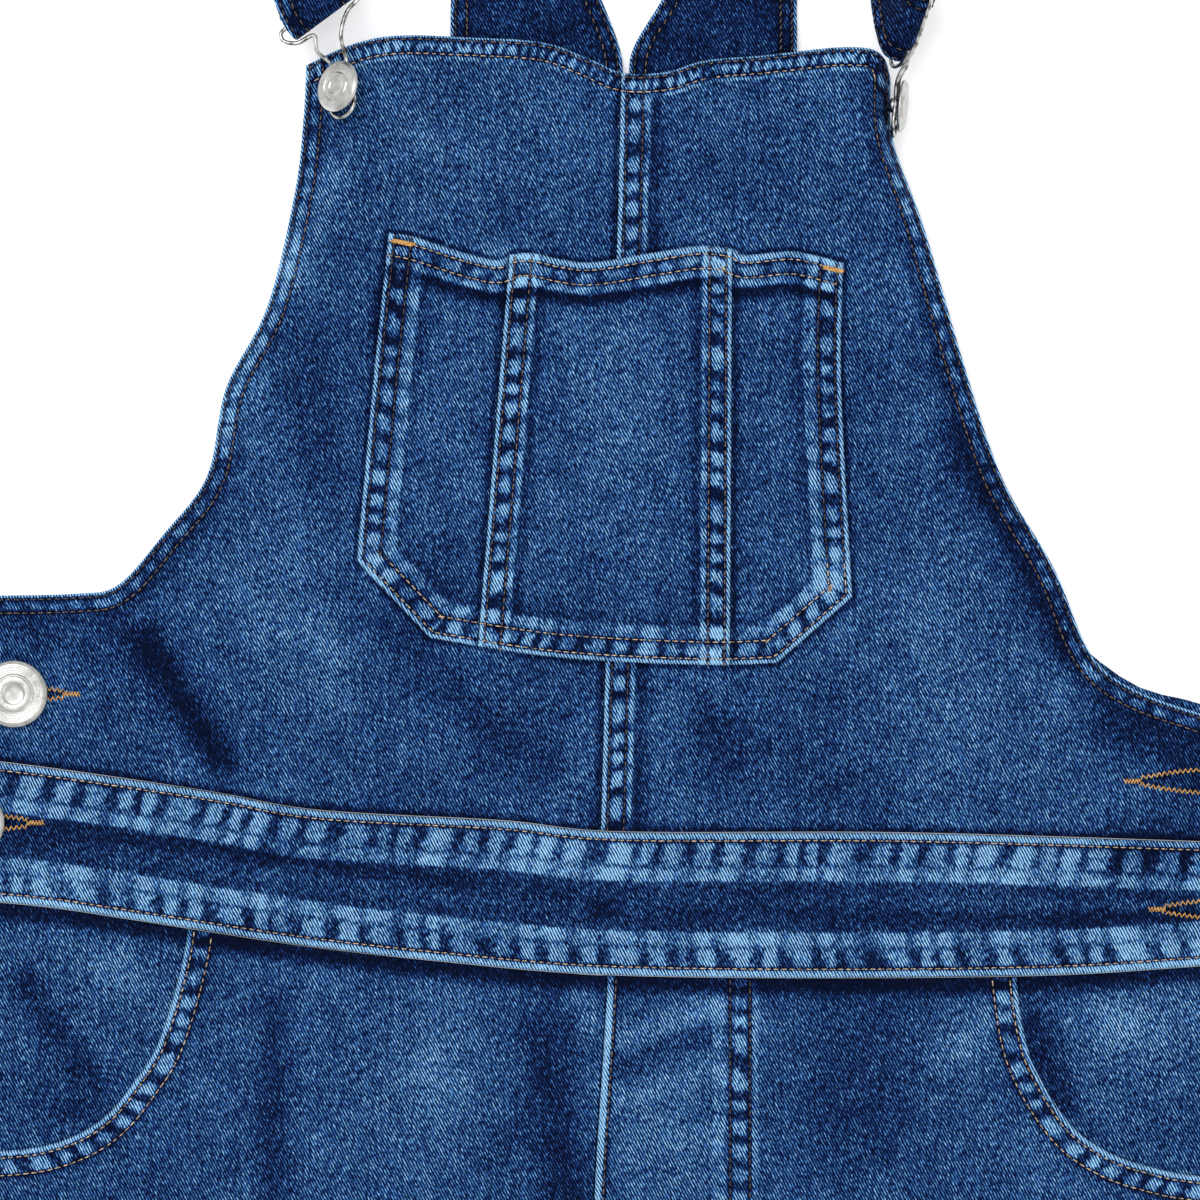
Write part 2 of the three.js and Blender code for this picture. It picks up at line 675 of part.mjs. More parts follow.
// A closed ribbon of cloth along a run
function ribbon(run, thickness, steps) {
  const points = [];
  const faces = [];
  for (let i = 0; i <= steps; i += 1) {
    const { centre, width, across, out } = run(i / steps);
    for (const [u, v] of [[-1, -1], [1, -1], [1, 1], [-1, 1]]) {
      const corner = centre.clone().addScaledVector(across, (u * width) / 2)
        .addScaledVector(out, (v * thickness) / 2);
      points.push(corner.toArray());
    }
    for (let k = 0; k < 4 && i > 0; k += 1) {
      const [a, b, next] = [4 * (i - 1), 4 * i, (k + 1) % 4];
      faces.push([a + k, b + next, a + next], [a + k, b + k, b + next]);
    }
  }
  const last = 4 * steps;
  faces.push([0, 1, 2], [0, 2, 3], [last, last + 2, last + 1], [last, last + 3, last + 2]);
  return solid(points, faces);
}

// The axes of a hook's bar: along it, away from the bib, and out of the strap's face
function barAxes({ turn, lean }) {
  const along = new THREE.Vector3(
    Math.cos(radians(turn)) * Math.cos(radians(lean)),
    Math.sin(radians(turn)) * Math.cos(radians(lean)),
    Math.sin(radians(lean)),
  );
  const away = new THREE.Vector3(0, 1, 0).addScaledVector(along, -along.y).normalize();
  return { along, away, out: new THREE.Vector3().crossVectors(along, away) };
}

// A rectangle with round corners
function roundedRectangle(width, height, radius) {
  const [w, h] = [width / 2, height / 2];
  const shape = new THREE.Shape();
  shape.moveTo(-w + radius, -h);
  shape.lineTo(w - radius, -h);
  shape.quadraticCurveTo(w, -h, w, -h + radius);
  shape.lineTo(w, h - radius);
  shape.quadraticCurveTo(w, h, w - radius, h);
  shape.lineTo(-w + radius, h);
  shape.quadraticCurveTo(-w, h, -w, h - radius);
  shape.lineTo(-w, -h + radius);
  shape.quadraticCurveTo(-w, -h, -w + radius, -h);
  return shape;
}

// A metal slide round the strap where a run passes it
function addSlide(name, { centre, across, out }) {
  const frame = roundedRectangle(slideWidth, slideHeight, 2);
  frame.holes.push(roundedRectangle(slideWidth - 2 * slideWall, slideHeight - 2 * slideWall, 0.6));
  const geometry = new THREE.ExtrudeGeometry(frame, {
    depth: slideLength, bevelEnabled: false, curveSegments: 3 });
  geometry.translate(0, 0, -slideLength / 2);
  const along = new THREE.Vector3().crossVectors(across, out);
  const mesh = addPiece(name, geometry, steel);
  mesh.quaternion.setFromRotationMatrix(new THREE.Matrix4().makeBasis(across, out, along));
  mesh.position.copy(centre);
}

function straps() {
  for (const bar of hookBars) {
    const { away, out } = barAxes(bar);
    const wrap = range(90, -190, 28).map((angle) => {
      const place = new THREE.Vector3(bar.x, bar.y, bar.z)
        .addScaledVector(out, rollRadius * Math.sin(radians(angle)))
        .addScaledVector(away, -rollRadius * Math.cos(radians(angle)));
      return { ...place, width: bar.length - 4.4, turn: bar.turn, lean: bar.lean };
    });
    const run = ribbonRun([...strapRuns[bar.name], ...wrap]);
    addPiece(`strap_${bar.name}`, ribbon(run, strapLayer, 110), dark);
    addSlide(`strap_slide_${bar.name}`, run(slidePlace));
  }
}

// Half the section of a tack button: a post, a cap with a bevelled rim, and a raised ring
function buttonProfile(radius, postLength) {
  return [
    [0, -postLength], [2.3, -postLength], [2.3, 0], [radius - 0.5, 0], [radius, 0.5],
    [radius, 1], [radius - 1, 1.8], [radius * 0.72, 2], [radius * 0.56, 1.6], [radius * 0.5, 2],
    [radius * 0.34, 2], [radius * 0.28, 1.6], [0, 1.6],
  ].map(([r, z]) => new THREE.Vector2(r, z));
}

function buttons() {
  for (const { name, x, y } of sideButtons) {
    const rise = name.endsWith('lower') ? bandRise : hemRise;
    const seat = Math.max(...range(0, 360, 45).map((angle) => above(bibUnder, wall)(
      x + sideButtonRadius * Math.cos(radians(angle)),
      y + sideButtonRadius * Math.sin(radians(angle)))));
    const under = seat + rise + gap + 0.1;
    const geometry = new THREE.LatheGeometry(
      buttonProfile(sideButtonRadius, under - frontBase), 14);
    geometry.rotateX(Math.PI / 2);
    addPiece(`side_button_${name}`, geometry, steel).position.set(x, y, under);
  }
  for (const { name, x, y, z, faceX, faceY, faceZ } of bibButtons) {
    const geometry = new THREE.LatheGeometry(buttonProfile(bibButtonRadius, 3), 14);
    geometry.rotateX(Math.PI / 2);
    const mesh = addPiece(`bib_button_${name}`, geometry, steel);
    const face = new THREE.Vector3(faceX, faceY, faceZ).normalize();
    mesh.quaternion.setFromUnitVectors(new THREE.Vector3(0, 0, 1), face);
    mesh.position.set(x, y, z).addScaledVector(face, -2);
  }
}

// A wire hook: two legs from the bar's ends to a keyhole loop behind the button's cap
function hooks() {
  for (const bar of hookBars) {
    const button = bibButtons.find(({ name }) => name === bar.name);
    const { along, away } = barAxes(bar);
    const middle = new THREE.Vector3(bar.x, bar.y, bar.z);
    const face = new THREE.Vector3(button.faceX, button.faceY, button.faceZ).normalize();
    const loopCentre = new THREE.Vector3(button.x, button.y, button.z).addScaledVector(face, -3.05);
    const up = middle.clone().sub(loopCentre);
    up.addScaledVector(face, -up.dot(face)).normalize();
    const side = new THREE.Vector3().crossVectors(up, face);
    const flip = Math.sign(side.dot(along)) || 1;
    const at = (u, v, proud = 0) => loopCentre.clone().addScaledVector(side, flip * u)
      .addScaledVector(up, v).addScaledVector(face, proud);
    const barEnd = (share, back = 0) => middle.clone()
      .addScaledVector(along, (share * bar.length) / 2).addScaledVector(away, -back);
    const loop = range(60, 300, 30).map((angle) => at(
      -4.2 * Math.sin(radians(angle - 180)) * -1, 4.2 * Math.cos(radians(angle))));
    const leg = (end) => [barEnd(end), barEnd(1.04 * end, 1.6), barEnd(1.02 * end, 6.4),
      barEnd(end, 6.4).lerp(at(3.8 * end, 8.8), 0.5).addScaledVector(face, bar.proud),
      at(3.8 * end, 8.8, bar.proud / 6)];
    const route = [barEnd(0.02), barEnd(0.6), ...leg(1), ...loop,
      ...reversed(leg(-1)), barEnd(-0.6), barEnd(-0.02)];
    const path = new THREE.CatmullRomCurve3(route);
    const wire = new THREE.Shape().absarc(0, 0, wireRadius, 0, 2 * Math.PI);
    const geometry = new THREE.ExtrudeGeometry(wire, {
      steps: 60, extrudePath: path, bevelEnabled: false, curveSegments: 3 });
    addPiece(`hook_${bar.name}`, geometry, steel);
  }
}

frontBib();
waistbands();
bibPocket();
legs();
backBib();
straps();
buttons();
hooks();

// The origin lies under the middle of the whole garment
dungarees.updateMatrixWorld(true);
const whole = new THREE.Box3().setFromObject(dungarees);
const middle = whole.getCenter(new THREE.Vector3());
dungarees.position.set(-middle.x, -middle.y, 0);

export default dungarees;
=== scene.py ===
import math
from collections import namedtuple

import bpy
import numpy as np
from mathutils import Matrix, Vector, geometry
from mathutils.kdtree import KDTree


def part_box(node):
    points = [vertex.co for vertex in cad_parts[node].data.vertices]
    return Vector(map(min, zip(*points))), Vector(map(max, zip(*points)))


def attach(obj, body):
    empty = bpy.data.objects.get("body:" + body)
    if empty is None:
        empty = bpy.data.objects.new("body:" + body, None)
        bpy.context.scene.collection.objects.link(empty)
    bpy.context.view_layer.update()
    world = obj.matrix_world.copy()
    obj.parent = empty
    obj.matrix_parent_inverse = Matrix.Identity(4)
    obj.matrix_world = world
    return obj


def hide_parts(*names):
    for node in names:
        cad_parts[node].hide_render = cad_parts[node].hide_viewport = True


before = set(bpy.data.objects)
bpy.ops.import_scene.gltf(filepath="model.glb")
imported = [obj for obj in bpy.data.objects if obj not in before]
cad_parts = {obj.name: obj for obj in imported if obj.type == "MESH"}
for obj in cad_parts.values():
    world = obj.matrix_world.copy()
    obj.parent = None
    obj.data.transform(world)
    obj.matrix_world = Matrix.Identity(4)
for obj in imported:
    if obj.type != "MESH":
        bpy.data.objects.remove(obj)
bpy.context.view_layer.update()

MM = 0.001

# Cloth
WALL = 1.2
GAP = 0.3
HEM_RISE = 0.7
BAND_RISE = 0.9
FRONT_BASE = WALL + GAP
POCKET_LIFT = WALL + GAP
STRAP_LIFT = 1.5
STEEPEST = 2.6
EDGE_ROUND = 0.9
SEAM_ALLOWANCE = 6.0
HEM_Y = -940.0
FAR_DOWN = -2000.0

# Mesh spacing: fine where the photo looks, coarser down the legs and under the garment
FINE = 1.45
MEDIUM = 3.4
COARSE = 7.0
FINE_DOWN_TO = -128.0

# Hems and seams
ARMHOLE_HEM = 6.4
TOP_HEM = 7.4
POCKET_HEM = 9.8
POCKET_TURNING = 11.6
SCOOP_HEM = 9.8
BAND_TURNING = 15.0
LEG_HEM = 16.0
FELLED_WIDTH = 9.4
FACING_UNDER = 10.0
FLY_WIDTH = 44.4
FLY_DEPTH = 150.0
FLY_TURN = 42.0
UNDERLAP = 1.5
BUTTON_PRESS = 16.0

# Stitches
STITCH_PITCH = 2.45
STITCH_LENGTH = 2.0
STITCH_WIDTH = 0.42
STITCH_LIFT = 0.12
TACK_PITCH = 0.42
HOLE_PITCH = 0.8
TAIL_PITCH = 0.45
TAIL_BAR = 4.6
TACK_LIFT = 0.1

# Straps
STRAP_LAYER = 2.4
STRAP_STEP = 1.7
STRAP_HEM = 6.4
# How much darker the straps are drawn all over
STRAP_TONE = -0.45
ROLL_RADIUS = 3.3
ROLL_NARROWING = 4.4

# Metal
SIDE_BUTTON = 10.2
BIB_BUTTON = 7.9
WIRE = 0.64
LOOP_RADIUS = 4.8
LOOP_DROP = 4.6
LOOP_BEHIND = 3.05
NECK_HALF = 2.9
NECK_HEIGHT = 8

# The photo: pixels to a millimetre at the cloth, and the camera's height above it
PHOTO_SIZE = 1200
PHOTO_SCALE = 3.3
PHOTO_ZERO = (620, 832)
CAMERA_HEIGHT = 1600.0
CLOTH_LEVEL = 4.0
SENSOR = 36.0

# The studio, in metres
FLOOR_HALF = 4.0
FLOOR_LEVEL = -0.0006

Point = namedtuple("Point", "x y")
Fold = namedtuple("Fold", "from_x from_y to_x to_y height half_width")
Roll = namedtuple("Roll", "side edge height flank reach fade_y full_y")
Seam = namedtuple(
    "Seam", "line side width rows seed rise lip patch inner shade reach outer wave gold_below",
    defaults=((), 0, HEM_RISE, 1.0, 0.6, 0.0, 0.0, 4.0, 0.0, 7.6, FAR_DOWN))
Row = namedtuple("Row", "inset thread")
Button = namedtuple("Button", "name x y tail_x open")
Cap = namedtuple("Cap", "name x y z face")
Bar = namedtuple("Bar", "name x y z turn lean length proud")
Pose = namedtuple("Pose", "x y z width turn lean")


def rows_of(kind, table):
    return [kind(*row) for row in table]


BIB_TOP = rows_of(Point, [
    (-95.2, 232.4), (-85.2, 236.6), (-69.7, 240.4), (-50, 240.8), (-24.2, 239.4),
    (-10, 234.6), (1, 230), (14, 230.3), (26, 233.8), (45, 235.3), (68, 236.6),
    (79, 234.6), (82, 227.9)])
LEFT_ARMHOLE = rows_of(Point, [
    (-95.2, 232.4), (-95.9, 217.3), (-98.5, 194.2), (-106.7, 159.4), (-119.4, 134.8),
    (-125.2, 108), (-137.9, 90.9), (-152, 75), (-165, 72.2), (-194, 71.6)])
RIGHT_ARMHOLE = rows_of(Point, [
    (82, 227.9), (82.8, 209.1), (92.4, 182.4), (104.2, 141.8), (115.8, 107.3),
    (131.5, 80), (142.4, 54.5), (155, 43.6), (176, 35.8), (198, 28.5)])
LEFT_SIDE = rows_of(Point, [
    (-194, 71.6), (-207, 20), (-215, -24), (-221, -95), (-227, -170), (-226, -260),
    (-218, -400), (-207, -600), (-197, HEM_Y)])
RIGHT_SIDE = rows_of(Point, [
    (198, 28.5), (203, -4), (207, -40), (214, -110), (221, -180), (220, -260),
    (213, -400), (203, -600), (195, HEM_Y)])
BAND_TOP = rows_of(Point, [
    (-230, 24.5), (-188, 21.2), (-127, 12.7), (-92, 6.6), (-36, 3.4), (0, 0),
    (85, -0.3), (176, -3), (230, -5)])
BAND_BOTTOM = rows_of(Point, [
    (-230, -18.5), (-180, -22.2), (-148, -26.7), (-97, -34.5), (-51, -39.7),
    (-6, -43.4), (60, -44.4), (130, -43.6), (176, -40.8), (230, -37)])
LEFT_SCOOP = rows_of(Point, [
    (-131.2, -10), (-131.4, -33), (-139.1, -61.8), (-147.3, -75.8), (-157, -87),
    (-170, -93.8), (-188, -96.7), (-235, -98.6)])
RIGHT_SCOOP = rows_of(Point, [
    (120.2, -30), (120.3, -45.8), (124.4, -68), (135.5, -87.3), (147, -96.4),
    (160, -101.2), (178, -104.4), (230, -108)])
LEFT_INSEAM = rows_of(Point, [
    (-3.6, -240), (-12, -272), (-24, -360), (-34, -600), (-46, HEM_Y)])
RIGHT_INSEAM = rows_of(Point, [
    (-6, -240), (6, -272), (20, -360), (30, -600), (44, HEM_Y)])
POCKET_TOP = rows_of(Point, [
    (-70, 181.5), (-62, 180.2), (-52, 177), (-42.4, 174.2), (-36.4, 173.3), (-32.6, 175.2),
    (-25.5, 175.3), (-18, 173.6), (-8, 172.7), (10, 175.6), (24, 177.6), (34.6, 176.6),
    (37.4, 174.8), (51, 176), (58, 175), (67.7, 172.4)])
POCKET_RIGHT = rows_of(Point, [(67.7, 172.4), (67, 136), (70.4, 71.2)])
POCKET_BOTTOM = rows_of(Point, [(47.6, 51.2), (24, 50.6), (-20, 53), (-57.6, 58.8)])
POCKET_LEFT = rows_of(Point, [(-79.7, 82), (-74.8, 136), (-70, 181.5)])
BACK_LEFT = rows_of(Point, [
    (-55, 215), (-68, 175), (-92, 130), (-124, 86), (-150, 69.5), (-194, 68.4)])
BACK_RIGHT = rows_of(Point, [
    (198, 31.6), (176, 38.9), (152, 47), (122, 76), (90, 130), (68, 175), (56, 215)])

CENTRE_SEAM = rows_of(Point, [(0.9, 250), (-6.2, -10)])
FLY_SEAM = rows_of(Point, [
    (-2.6, 20), (-3.9, -43.3), (-7.9, -111), (-8.6, -160), (-6.2, -240), (-6.4, -260)])
POCKET_SEAM_LEFT = rows_of(Point, [(-32.4, 190), (-44.5, 40)])
POCKET_SEAM_RIGHT = rows_of(Point, [(34.2, 190), (33.4, 40)])

FOLDS = rows_of(Fold, [
    (-70, 202, -101, 160, 3.4, 15), (-158, 60, -122, 14, 2.4, 13),
    (-135, 72, -96, 22, 2.8, 12), (88, 150, 118, 62, 2.2, 17),
    (-60, 26, -20, 34, 1.6, 16), (60, 30, 120, 18, 1.8, 15),
    (-90, -62, -40, -84, 2, 18), (60, -70, 100, -96, 1.8, 18),
    (-22, -214, -120, -172, 3, 16), (14, -218, 112, -180, 3, 16),
    (-40, -262, -160, -230, 2.6, 18), (40, -268, 150, -240, 2.4, 18),
    (-60, -560, -170, -590, 2.6, 22), (70, -600, 180, -566, 2.6, 22),
    (-70, -660, -160, -640, 2, 20), (60, -656, 150, -682, 2, 20),
    (-70, -850, -170, -872, 2, 20), (70, -870, 160, -852, 2, 20)])

# Small creases: positive heights are ridges and negative ones troughs
CREASES = rows_of(Fold, [
    (-152, 62, -116, 16, -0.9, 4.5), (-100, 96, -86, 40, 0.5, 7),
    (-112, 120, -98, 84, 0.45, 6), (-60, 44, -18, 36, -0.4, 5),
    (94, 150, 108, 96, -0.5, 6), (84, 196, 96, 150, 0.5, 5),
    (30, 214, 66, 226, 0.5, 7), (-58, 206, -30, 224, 0.5, 7),
    (-88, 196, -76, 214, -0.5, 6), (118, 50, 150, 22, 0.5, 6),
    (60, 14, 110, 10, -0.4, 5), (-176, 54, -150, 44, 0.4, 5),
    (-20, -60, -70, -76, 0.5, 7), (52, -60, 92, -70, 0.45, 6),
    (-96, -52, -84, -110, 0.4, 8), (100, -56, 84, -110, 0.4, 8),
    (-170, -50, -150, -40, 0.5, 5), (150, -60, 184, -78, 0.5, 6),
    (-26, -190, -78, -150, 0.7, 6), (18, -196, 70, -158, 0.7, 6),
    (-20, -232, -120, -214, 0.8, 6), (14, -236, 108, -216, 0.7, 6),
    (-50, -300, -120, -276, 0.6, 8), (50, -310, 120, -288, 0.6, 8),
    (-60, -540, -140, -562, 0.8, 8), (60, -578, 140, -552, 0.8, 8),
    (-70, -612, -186, -622, 0.9, 9), (74, -640, 176, -622, 0.9, 9),
    (-64, -700, -120, -690, 0.6, 8), (80, -720, 130, -708, 0.6, 8),
    (-76, -828, -150, -836, 0.7, 8), (66, -890, 120, -880, 0.7, 8)])

# Worn cloth and painted shading: broad patches and bands made paler (above 0) or darker (below 0),
# partly where the wash has left the cloth paler or darker and partly painted shade in folds and
# creases, with painted light on their crests
WEAR_AND_SHADING_PATCHES = rows_of(Fold, [
    (-143, 58, -121, 22, -0.75, 5), (-176, 58, -151, 52, -0.25, 12),
    (-115, 74, -91, 50, 0.22, 12), (-71, 62, -26, 18, -0.3, 7),
    (-87, 200, -101, 171, 0.5, 6), (-101, 171, -121, 119, 0.5, 6),
    (-95, 151, -91, 110, -0.2, 10), (148, 32, 176, 20, -0.5, 8), (151, -6, 176, -6, -0.5, 8),
    (95, 70, 103, 34, 0.2, 12), (28, 30, 34, 22, -0.3, 10), (101, 119, 135, 58, -0.35, 6),
    (-105, -51, -105, -111, -0.35, 5), (-24, -62, -16, -111, -0.5, 8),
    (-58, -72, -58, -88, 0.3, 16), (75, -62, 75, -84, -0.35, 20), (14, -76, 14, -111, 0.2, 13),
    (113, -55, 103, -67, 0.4, 7), (-180, -47, -164, -71, -0.4, 5),
    (-170, -81, -160, -81, -0.35, 10), (-155, -39, -139, -55, 0.3, 6),
    (125, -59, 135, -83, -0.5, 5), (150, -59, 160, -59, 0.3, 9), (2, 147, -2, 119, 0.15, 13),
    (-52, 82, -52, 74, -0.2, 7), (-70, 162, -70, 154, -0.5, 6),
    (-188, 0, -107, -6.4, -0.35, 3.5), (-107, -6.4, -6, -22.7, -0.35, 3.5),
    (-6, -22.7, 176, -26.7, -0.35, 3.5), (-26, -4.5, 2, -6.4, 0.35, 5),
    (103, -8.5, 139, -8.5, 0.35, 6), (-188, -17, -168, -17, 0.4, 5),
    (-117, -30.6, -113, -30.6, -0.5, 5), (42, -33, 50, -33, 0.3, 8),
    (155, -37, 176, -37, 0.4, 6), (-36, 174, -28, 172, 0.6, 5), (24, 174, 33, 172, 0.6, 5),
    (-76, 84, -74, 80, 0.8, 4), (62, 76, 66, 80, 0.8, 5), (-42, 57, -38, 57, 0.5, 4),
    (24, 54, 28, 54, 0.5, 4), (30, -53, 0, -63, 0.4, 3.5), (30, -60, 1, -71, -0.3, 3.5),
    (32, -72, 0, -81, 0.25, 3.5), (32, -90, 0, -99, 0.2, 4), (-12, -47, -9, -56, 0.3, 4)])

SIDE_BUTTONS = rows_of(Button, [
    ("left_upper", -183.6, 41.8, -168.6, 2.4), ("left_lower", -196.6, 2.8, -179.4, 2.8),
    ("right_upper", 187, 15.4, 157.6, 5.4), ("right_lower", 190.5, -23.4, 165, 4)])
BIB_CAPS = rows_of(Cap, [
    ("left", -85.8, 225.2, 15, (-0.62, 0.18, 0.76)),
    ("right", 86.4, 219.3, 9.8, (0.985, -0.1, 0.14))])
BARTACKS = [rows_of(Point, [(-68.4, 179), (-62.8, 177.9)]),
            rows_of(Point, [(62.2, 171), (67, 169.8)])]
HOOK_BARS = rows_of(Bar, [
    ("left", -91, 249.4, 12.4, 36, 4, 28, 2.4),
    ("right", 87, 244.6, 15.4, 65, 38, 30, 0.4)])
STRAP_RUNS = {
    "left": rows_of(Pose, [
        (-26.6, 215.4, 1.2, 54.5, 0, 0), (-25.6, 235, 1.2, 52.4, 0, 0),
        (-28.8, 252, 1.2, 45.4, 5, 0), (-34, 274, 1.2, 35, 12, 0),
        (-40, 300, 1.2, 30, 16, 0), (-54, 345, 1.2, 30, 18, 0),
        (-68, 385, 1.2, 30, 14, 0), (-73, 399, 1.3, 30, 5, 0),
        (-75, 402, 3.2, 30, 0, 0), (-77, 399, 5.1, 30, -5, 0),
        (-82, 385, 5.2, 30, -12, 0), (-96, 345, 5.2, 30, -12, 0),
        (-102, 312, 5.2, 30, 2, 0), (-98, 282, 9.4, 30, 24, 0)]),
    "right": rows_of(Pose, [
        (29, 215.4, 1.2, 51, 0, 0), (28.4, 235, 1.2, 50.6, 0, 0),
        (33.6, 252, 1.2, 40.4, -6, 0), (38, 274, 1.2, 33, -12, 0),
        (44, 300, 1.2, 30, -16, 0), (60, 345, 1.2, 30, -22, 0),
        (80, 384, 1.2, 30, -18, 0), (88, 396, 1.3, 30, -8, 0),
        (91, 398.6, 3.4, 30, 0, 0), (94, 396, 5.5, 30, 6, 0),
        (98, 382, 5.2, 30, 10, 0), (104, 348, 5, 30, 2, 0),
        (101, 314, 4.4, 30, -2, 0), (93, 286, 5.6, 29, 18, 8),
        (84.6, 264, 9, 27, 46, 26)]),
}

# Where the garment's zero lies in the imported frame
SHIFT = np.array([
    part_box("bib_pocket_right")[1].x / MM - POCKET_RIGHT[-1].x,
    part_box("front_leg_left")[0].y / MM - HEM_Y, 0])


# Curves and distances

def array(points):
    return np.array([tuple(p)[:2] for p in points], float)


def resampled(points, step):
    lengths = np.linalg.norm(np.diff(points, axis=0), axis=1)
    points = points[np.concatenate([[True], lengths > 1e-9])]
    along = np.concatenate([[0], np.cumsum(lengths[lengths > 1e-9])])
    at = np.linspace(0, along[-1], max(2, round(along[-1] / step) + 1))
    return np.stack([np.interp(at, along, points[:, k]) for k in range(points.shape[1])], 1)


def spline(rows, step=1.0):
    """A smooth run through the points of a table, with a point about every step."""
    p = array(rows)
    if len(p) == 2:
        return resampled(p, step)
    before, after = np.vstack([p[:1], p[:-2]]), np.vstack([p[2:], p[-1:]])
    a, b = p[:-1, None], p[1:, None]
    va, vb = (b - before[:, None]) / 2, (after[:, None] - a) / 2
    t = np.linspace(0, 1, 33)[None, :, None]
    curve = ((2 * a - 2 * b + va + vb) * t ** 3 + (-3 * a + 3 * b - 2 * va - vb) * t ** 2
             + va * t + a)
    return resampled(curve.reshape(-1, 2), step)


def shifted(points, distance):
    """The points moved to the left of their direction."""
    along = np.gradient(points, axis=0)
    along /= np.maximum(np.linalg.norm(along, axis=1), 1e-9)[:, None]
    return points + np.stack([-along[:, 1], along[:, 0]], 1) * distance


def nearest(xy, line):
    """For each point: its distance from a line, positive to the line's left, and how far
    along the line its nearest place is."""
    a, d = line[:-1], np.diff(line, axis=0)
    long = np.linalg.norm(d, axis=1)
    start = np.concatenate([[0], np.cumsum(long)[:-1]])
    side, along = np.empty(len(xy)), np.empty(len(xy))
    for first in range(0, len(xy), 4000):
        rel = xy[first:first + 4000, None] - a
        share = np.clip((rel * d).sum(2) / long ** 2, 0, 1)
        apart = rel - share[..., None] * d
        far = np.hypot(apart[..., 0], apart[..., 1])
        i = far.argmin(1)
        r = np.arange(len(i))
        cross = d[i, 0] * rel[r, i, 1] - d[i, 1] * rel[r, i, 0]
        side[first:first + 4000] = np.where(cross >= 0, far[r, i], -far[r, i])
        along[first:first + 4000] = start[i] + share[r, i] * long[i]
    return side, along


def inside(xy, loop):
    """Whether each point lies inside a closed outline."""
    x, y = xy[:, 0], xy[:, 1]
    found = np.zeros(len(xy), bool)
    for (ax, ay), (bx, by) in zip(loop, np.roll(loop, -1, axis=0)):
        if ay != by:
            found ^= ((ay > y) != (by > y)) & (x < (bx - ax) * (y - ay) / (by - ay) + ax)
    return found


def clip(line, value):
    """The stretch of a line where a value is above 0, ending where it would be 0."""
    keep = np.flatnonzero(value > 0)
    first, last = keep[0], keep[-1]
    part = line[first:last + 1]
    if first > 0:
        share = value[first - 1] / (value[first - 1] - value[first])
        part = np.vstack([line[first - 1] + (line[first] - line[first - 1]) * share, part])
    if last + 1 < len(line):
        share = value[last] / (value[last] - value[last + 1])
        part = np.vstack([part, line[last] + (line[last + 1] - line[last]) * share])
    return part


def off(line, seam):
    """How far each point is to the right of a seam that runs from top to bottom."""
    top, bottom = array(seam)
    d = (bottom - top) / np.linalg.norm(bottom - top)
    rel = line - top
    return rel[:, 1] * d[0] - rel[:, 0] * d[1]


def over(line, curve):
    """How far each point is above a curve that runs from left to right."""
    return line[:, 1] - np.interp(line[:, 0], curve[:, 0], curve[:, 1])


def right_of(line, side):
    """How far each point is to the right of a side that runs from top to bottom."""
    return line[:, 0] - np.interp(line[:, 1], side[::-1, 1], side[::-1, 0])


def smooth(value, low, high):
    t = np.clip((value - low) / (high - low), 0, 1)
    return t * t * (3 - 2 * t)


def bump(value, middle, width):
    return np.exp(-((value - middle) / width) ** 2)


def uneven(along, wave, seed):
    """A soft uneven ripple from -1 to 1, the same each run."""
    phase = np.random.default_rng(seed).uniform(0, 2 * math.pi, 4)
    ripple = sum(
        size * np.sin(2 * math.pi * along / (wave * length) + p)
        for size, length, p in zip((1, 0.7, 0.6, 0.5), (1, 0.61, 1.9, 4.7), phase))
    return np.clip(ripple / 1.7, -1, 1)


# The surface that the front lies on, as in the solids, with finer creases added

LEFT_EDGE, RIGHT_EDGE = spline(LEFT_ARMHOLE, 4), spline(RIGHT_ARMHOLE, 4)
ROLLS = [
    Roll(1, RIGHT_EDGE, 13, 7, 46, 166, 206),
    Roll(-1, LEFT_EDGE, 8, 18, 56, 176, 212)]


def ridges(x, y, table):
    total = np.zeros_like(x)
    for f in table:
        dx, dy = f.to_x - f.from_x, f.to_y - f.from_y
        share = np.clip(((x - f.from_x) * dx + (y - f.from_y) * dy) / (dx * dx + dy * dy), 0, 1)
        far = np.hypot(x - f.from_x - dx * share, y - f.from_y - dy * share)
        total += f.height * np.exp(-(far / f.half_width) ** 2)
    return total


def roll_height(x, y):
    total = np.zeros_like(x)
    for roll in ROLLS:
        edge_x = np.interp(y, roll.edge[::-1, 1], roll.edge[::-1, 0])
        within = roll.side * (edge_x - x)
        rise = smooth(within, -1.5, roll.flank) * (1 - smooth(within, roll.flank, roll.reach))
        total += roll.height * rise * smooth(y, roll.fade_y, roll.full_y)
    return total


def drape(x, y):
    """A gentle unevenness over the whole front, which dies out where a button is pressed in."""
    wave = (np.sin(x / 23 + 0.8 * np.sin(y / 31)) + np.sin(y / 19 + 1.1 * np.sin(x / 27 + 2))
            + np.sin((x + y) / 41 + 1))
    free = np.ones_like(x)
    for b in SIDE_BUTTONS:
        free *= 1 - bump(np.hypot(x - b.x, y - b.y), 0, BUTTON_PRESS)
    return (0.35 + 0.11 * wave + ridges(x, y, CREASES)) * free


def bib_under(x, y):
    lift = STRAP_LIFT * smooth(y, 186, 203) * (1 - smooth(np.abs(x), 74, 96))
    whole = FRONT_BASE + ridges(x, y, FOLDS) + roll_height(x, y) + lift + drape(x, y)
    return np.maximum(whole, FRONT_BASE)


def leg_under(x, y):
    return bib_under(x, y) + POCKET_LIFT * smooth(np.abs(x), 62, 84) * smooth(y, -196, -150)


def slope_factor(surface, x, y, step=2.0):
    slope_x = (surface(x + step, y) - surface(x - step, y)) / (2 * step)
    slope_y = (surface(x, y + step) - surface(x, y - step)) / (2 * step)
    return np.minimum(STEEPEST, np.sqrt(1 + slope_x ** 2 + slope_y ** 2))


def pocket_under(x, y):
    return bib_under(x, y) + WALL * slope_factor(bib_under, x, y) + GAP


def on_floor(x, y):
    return np.zeros_like(x)
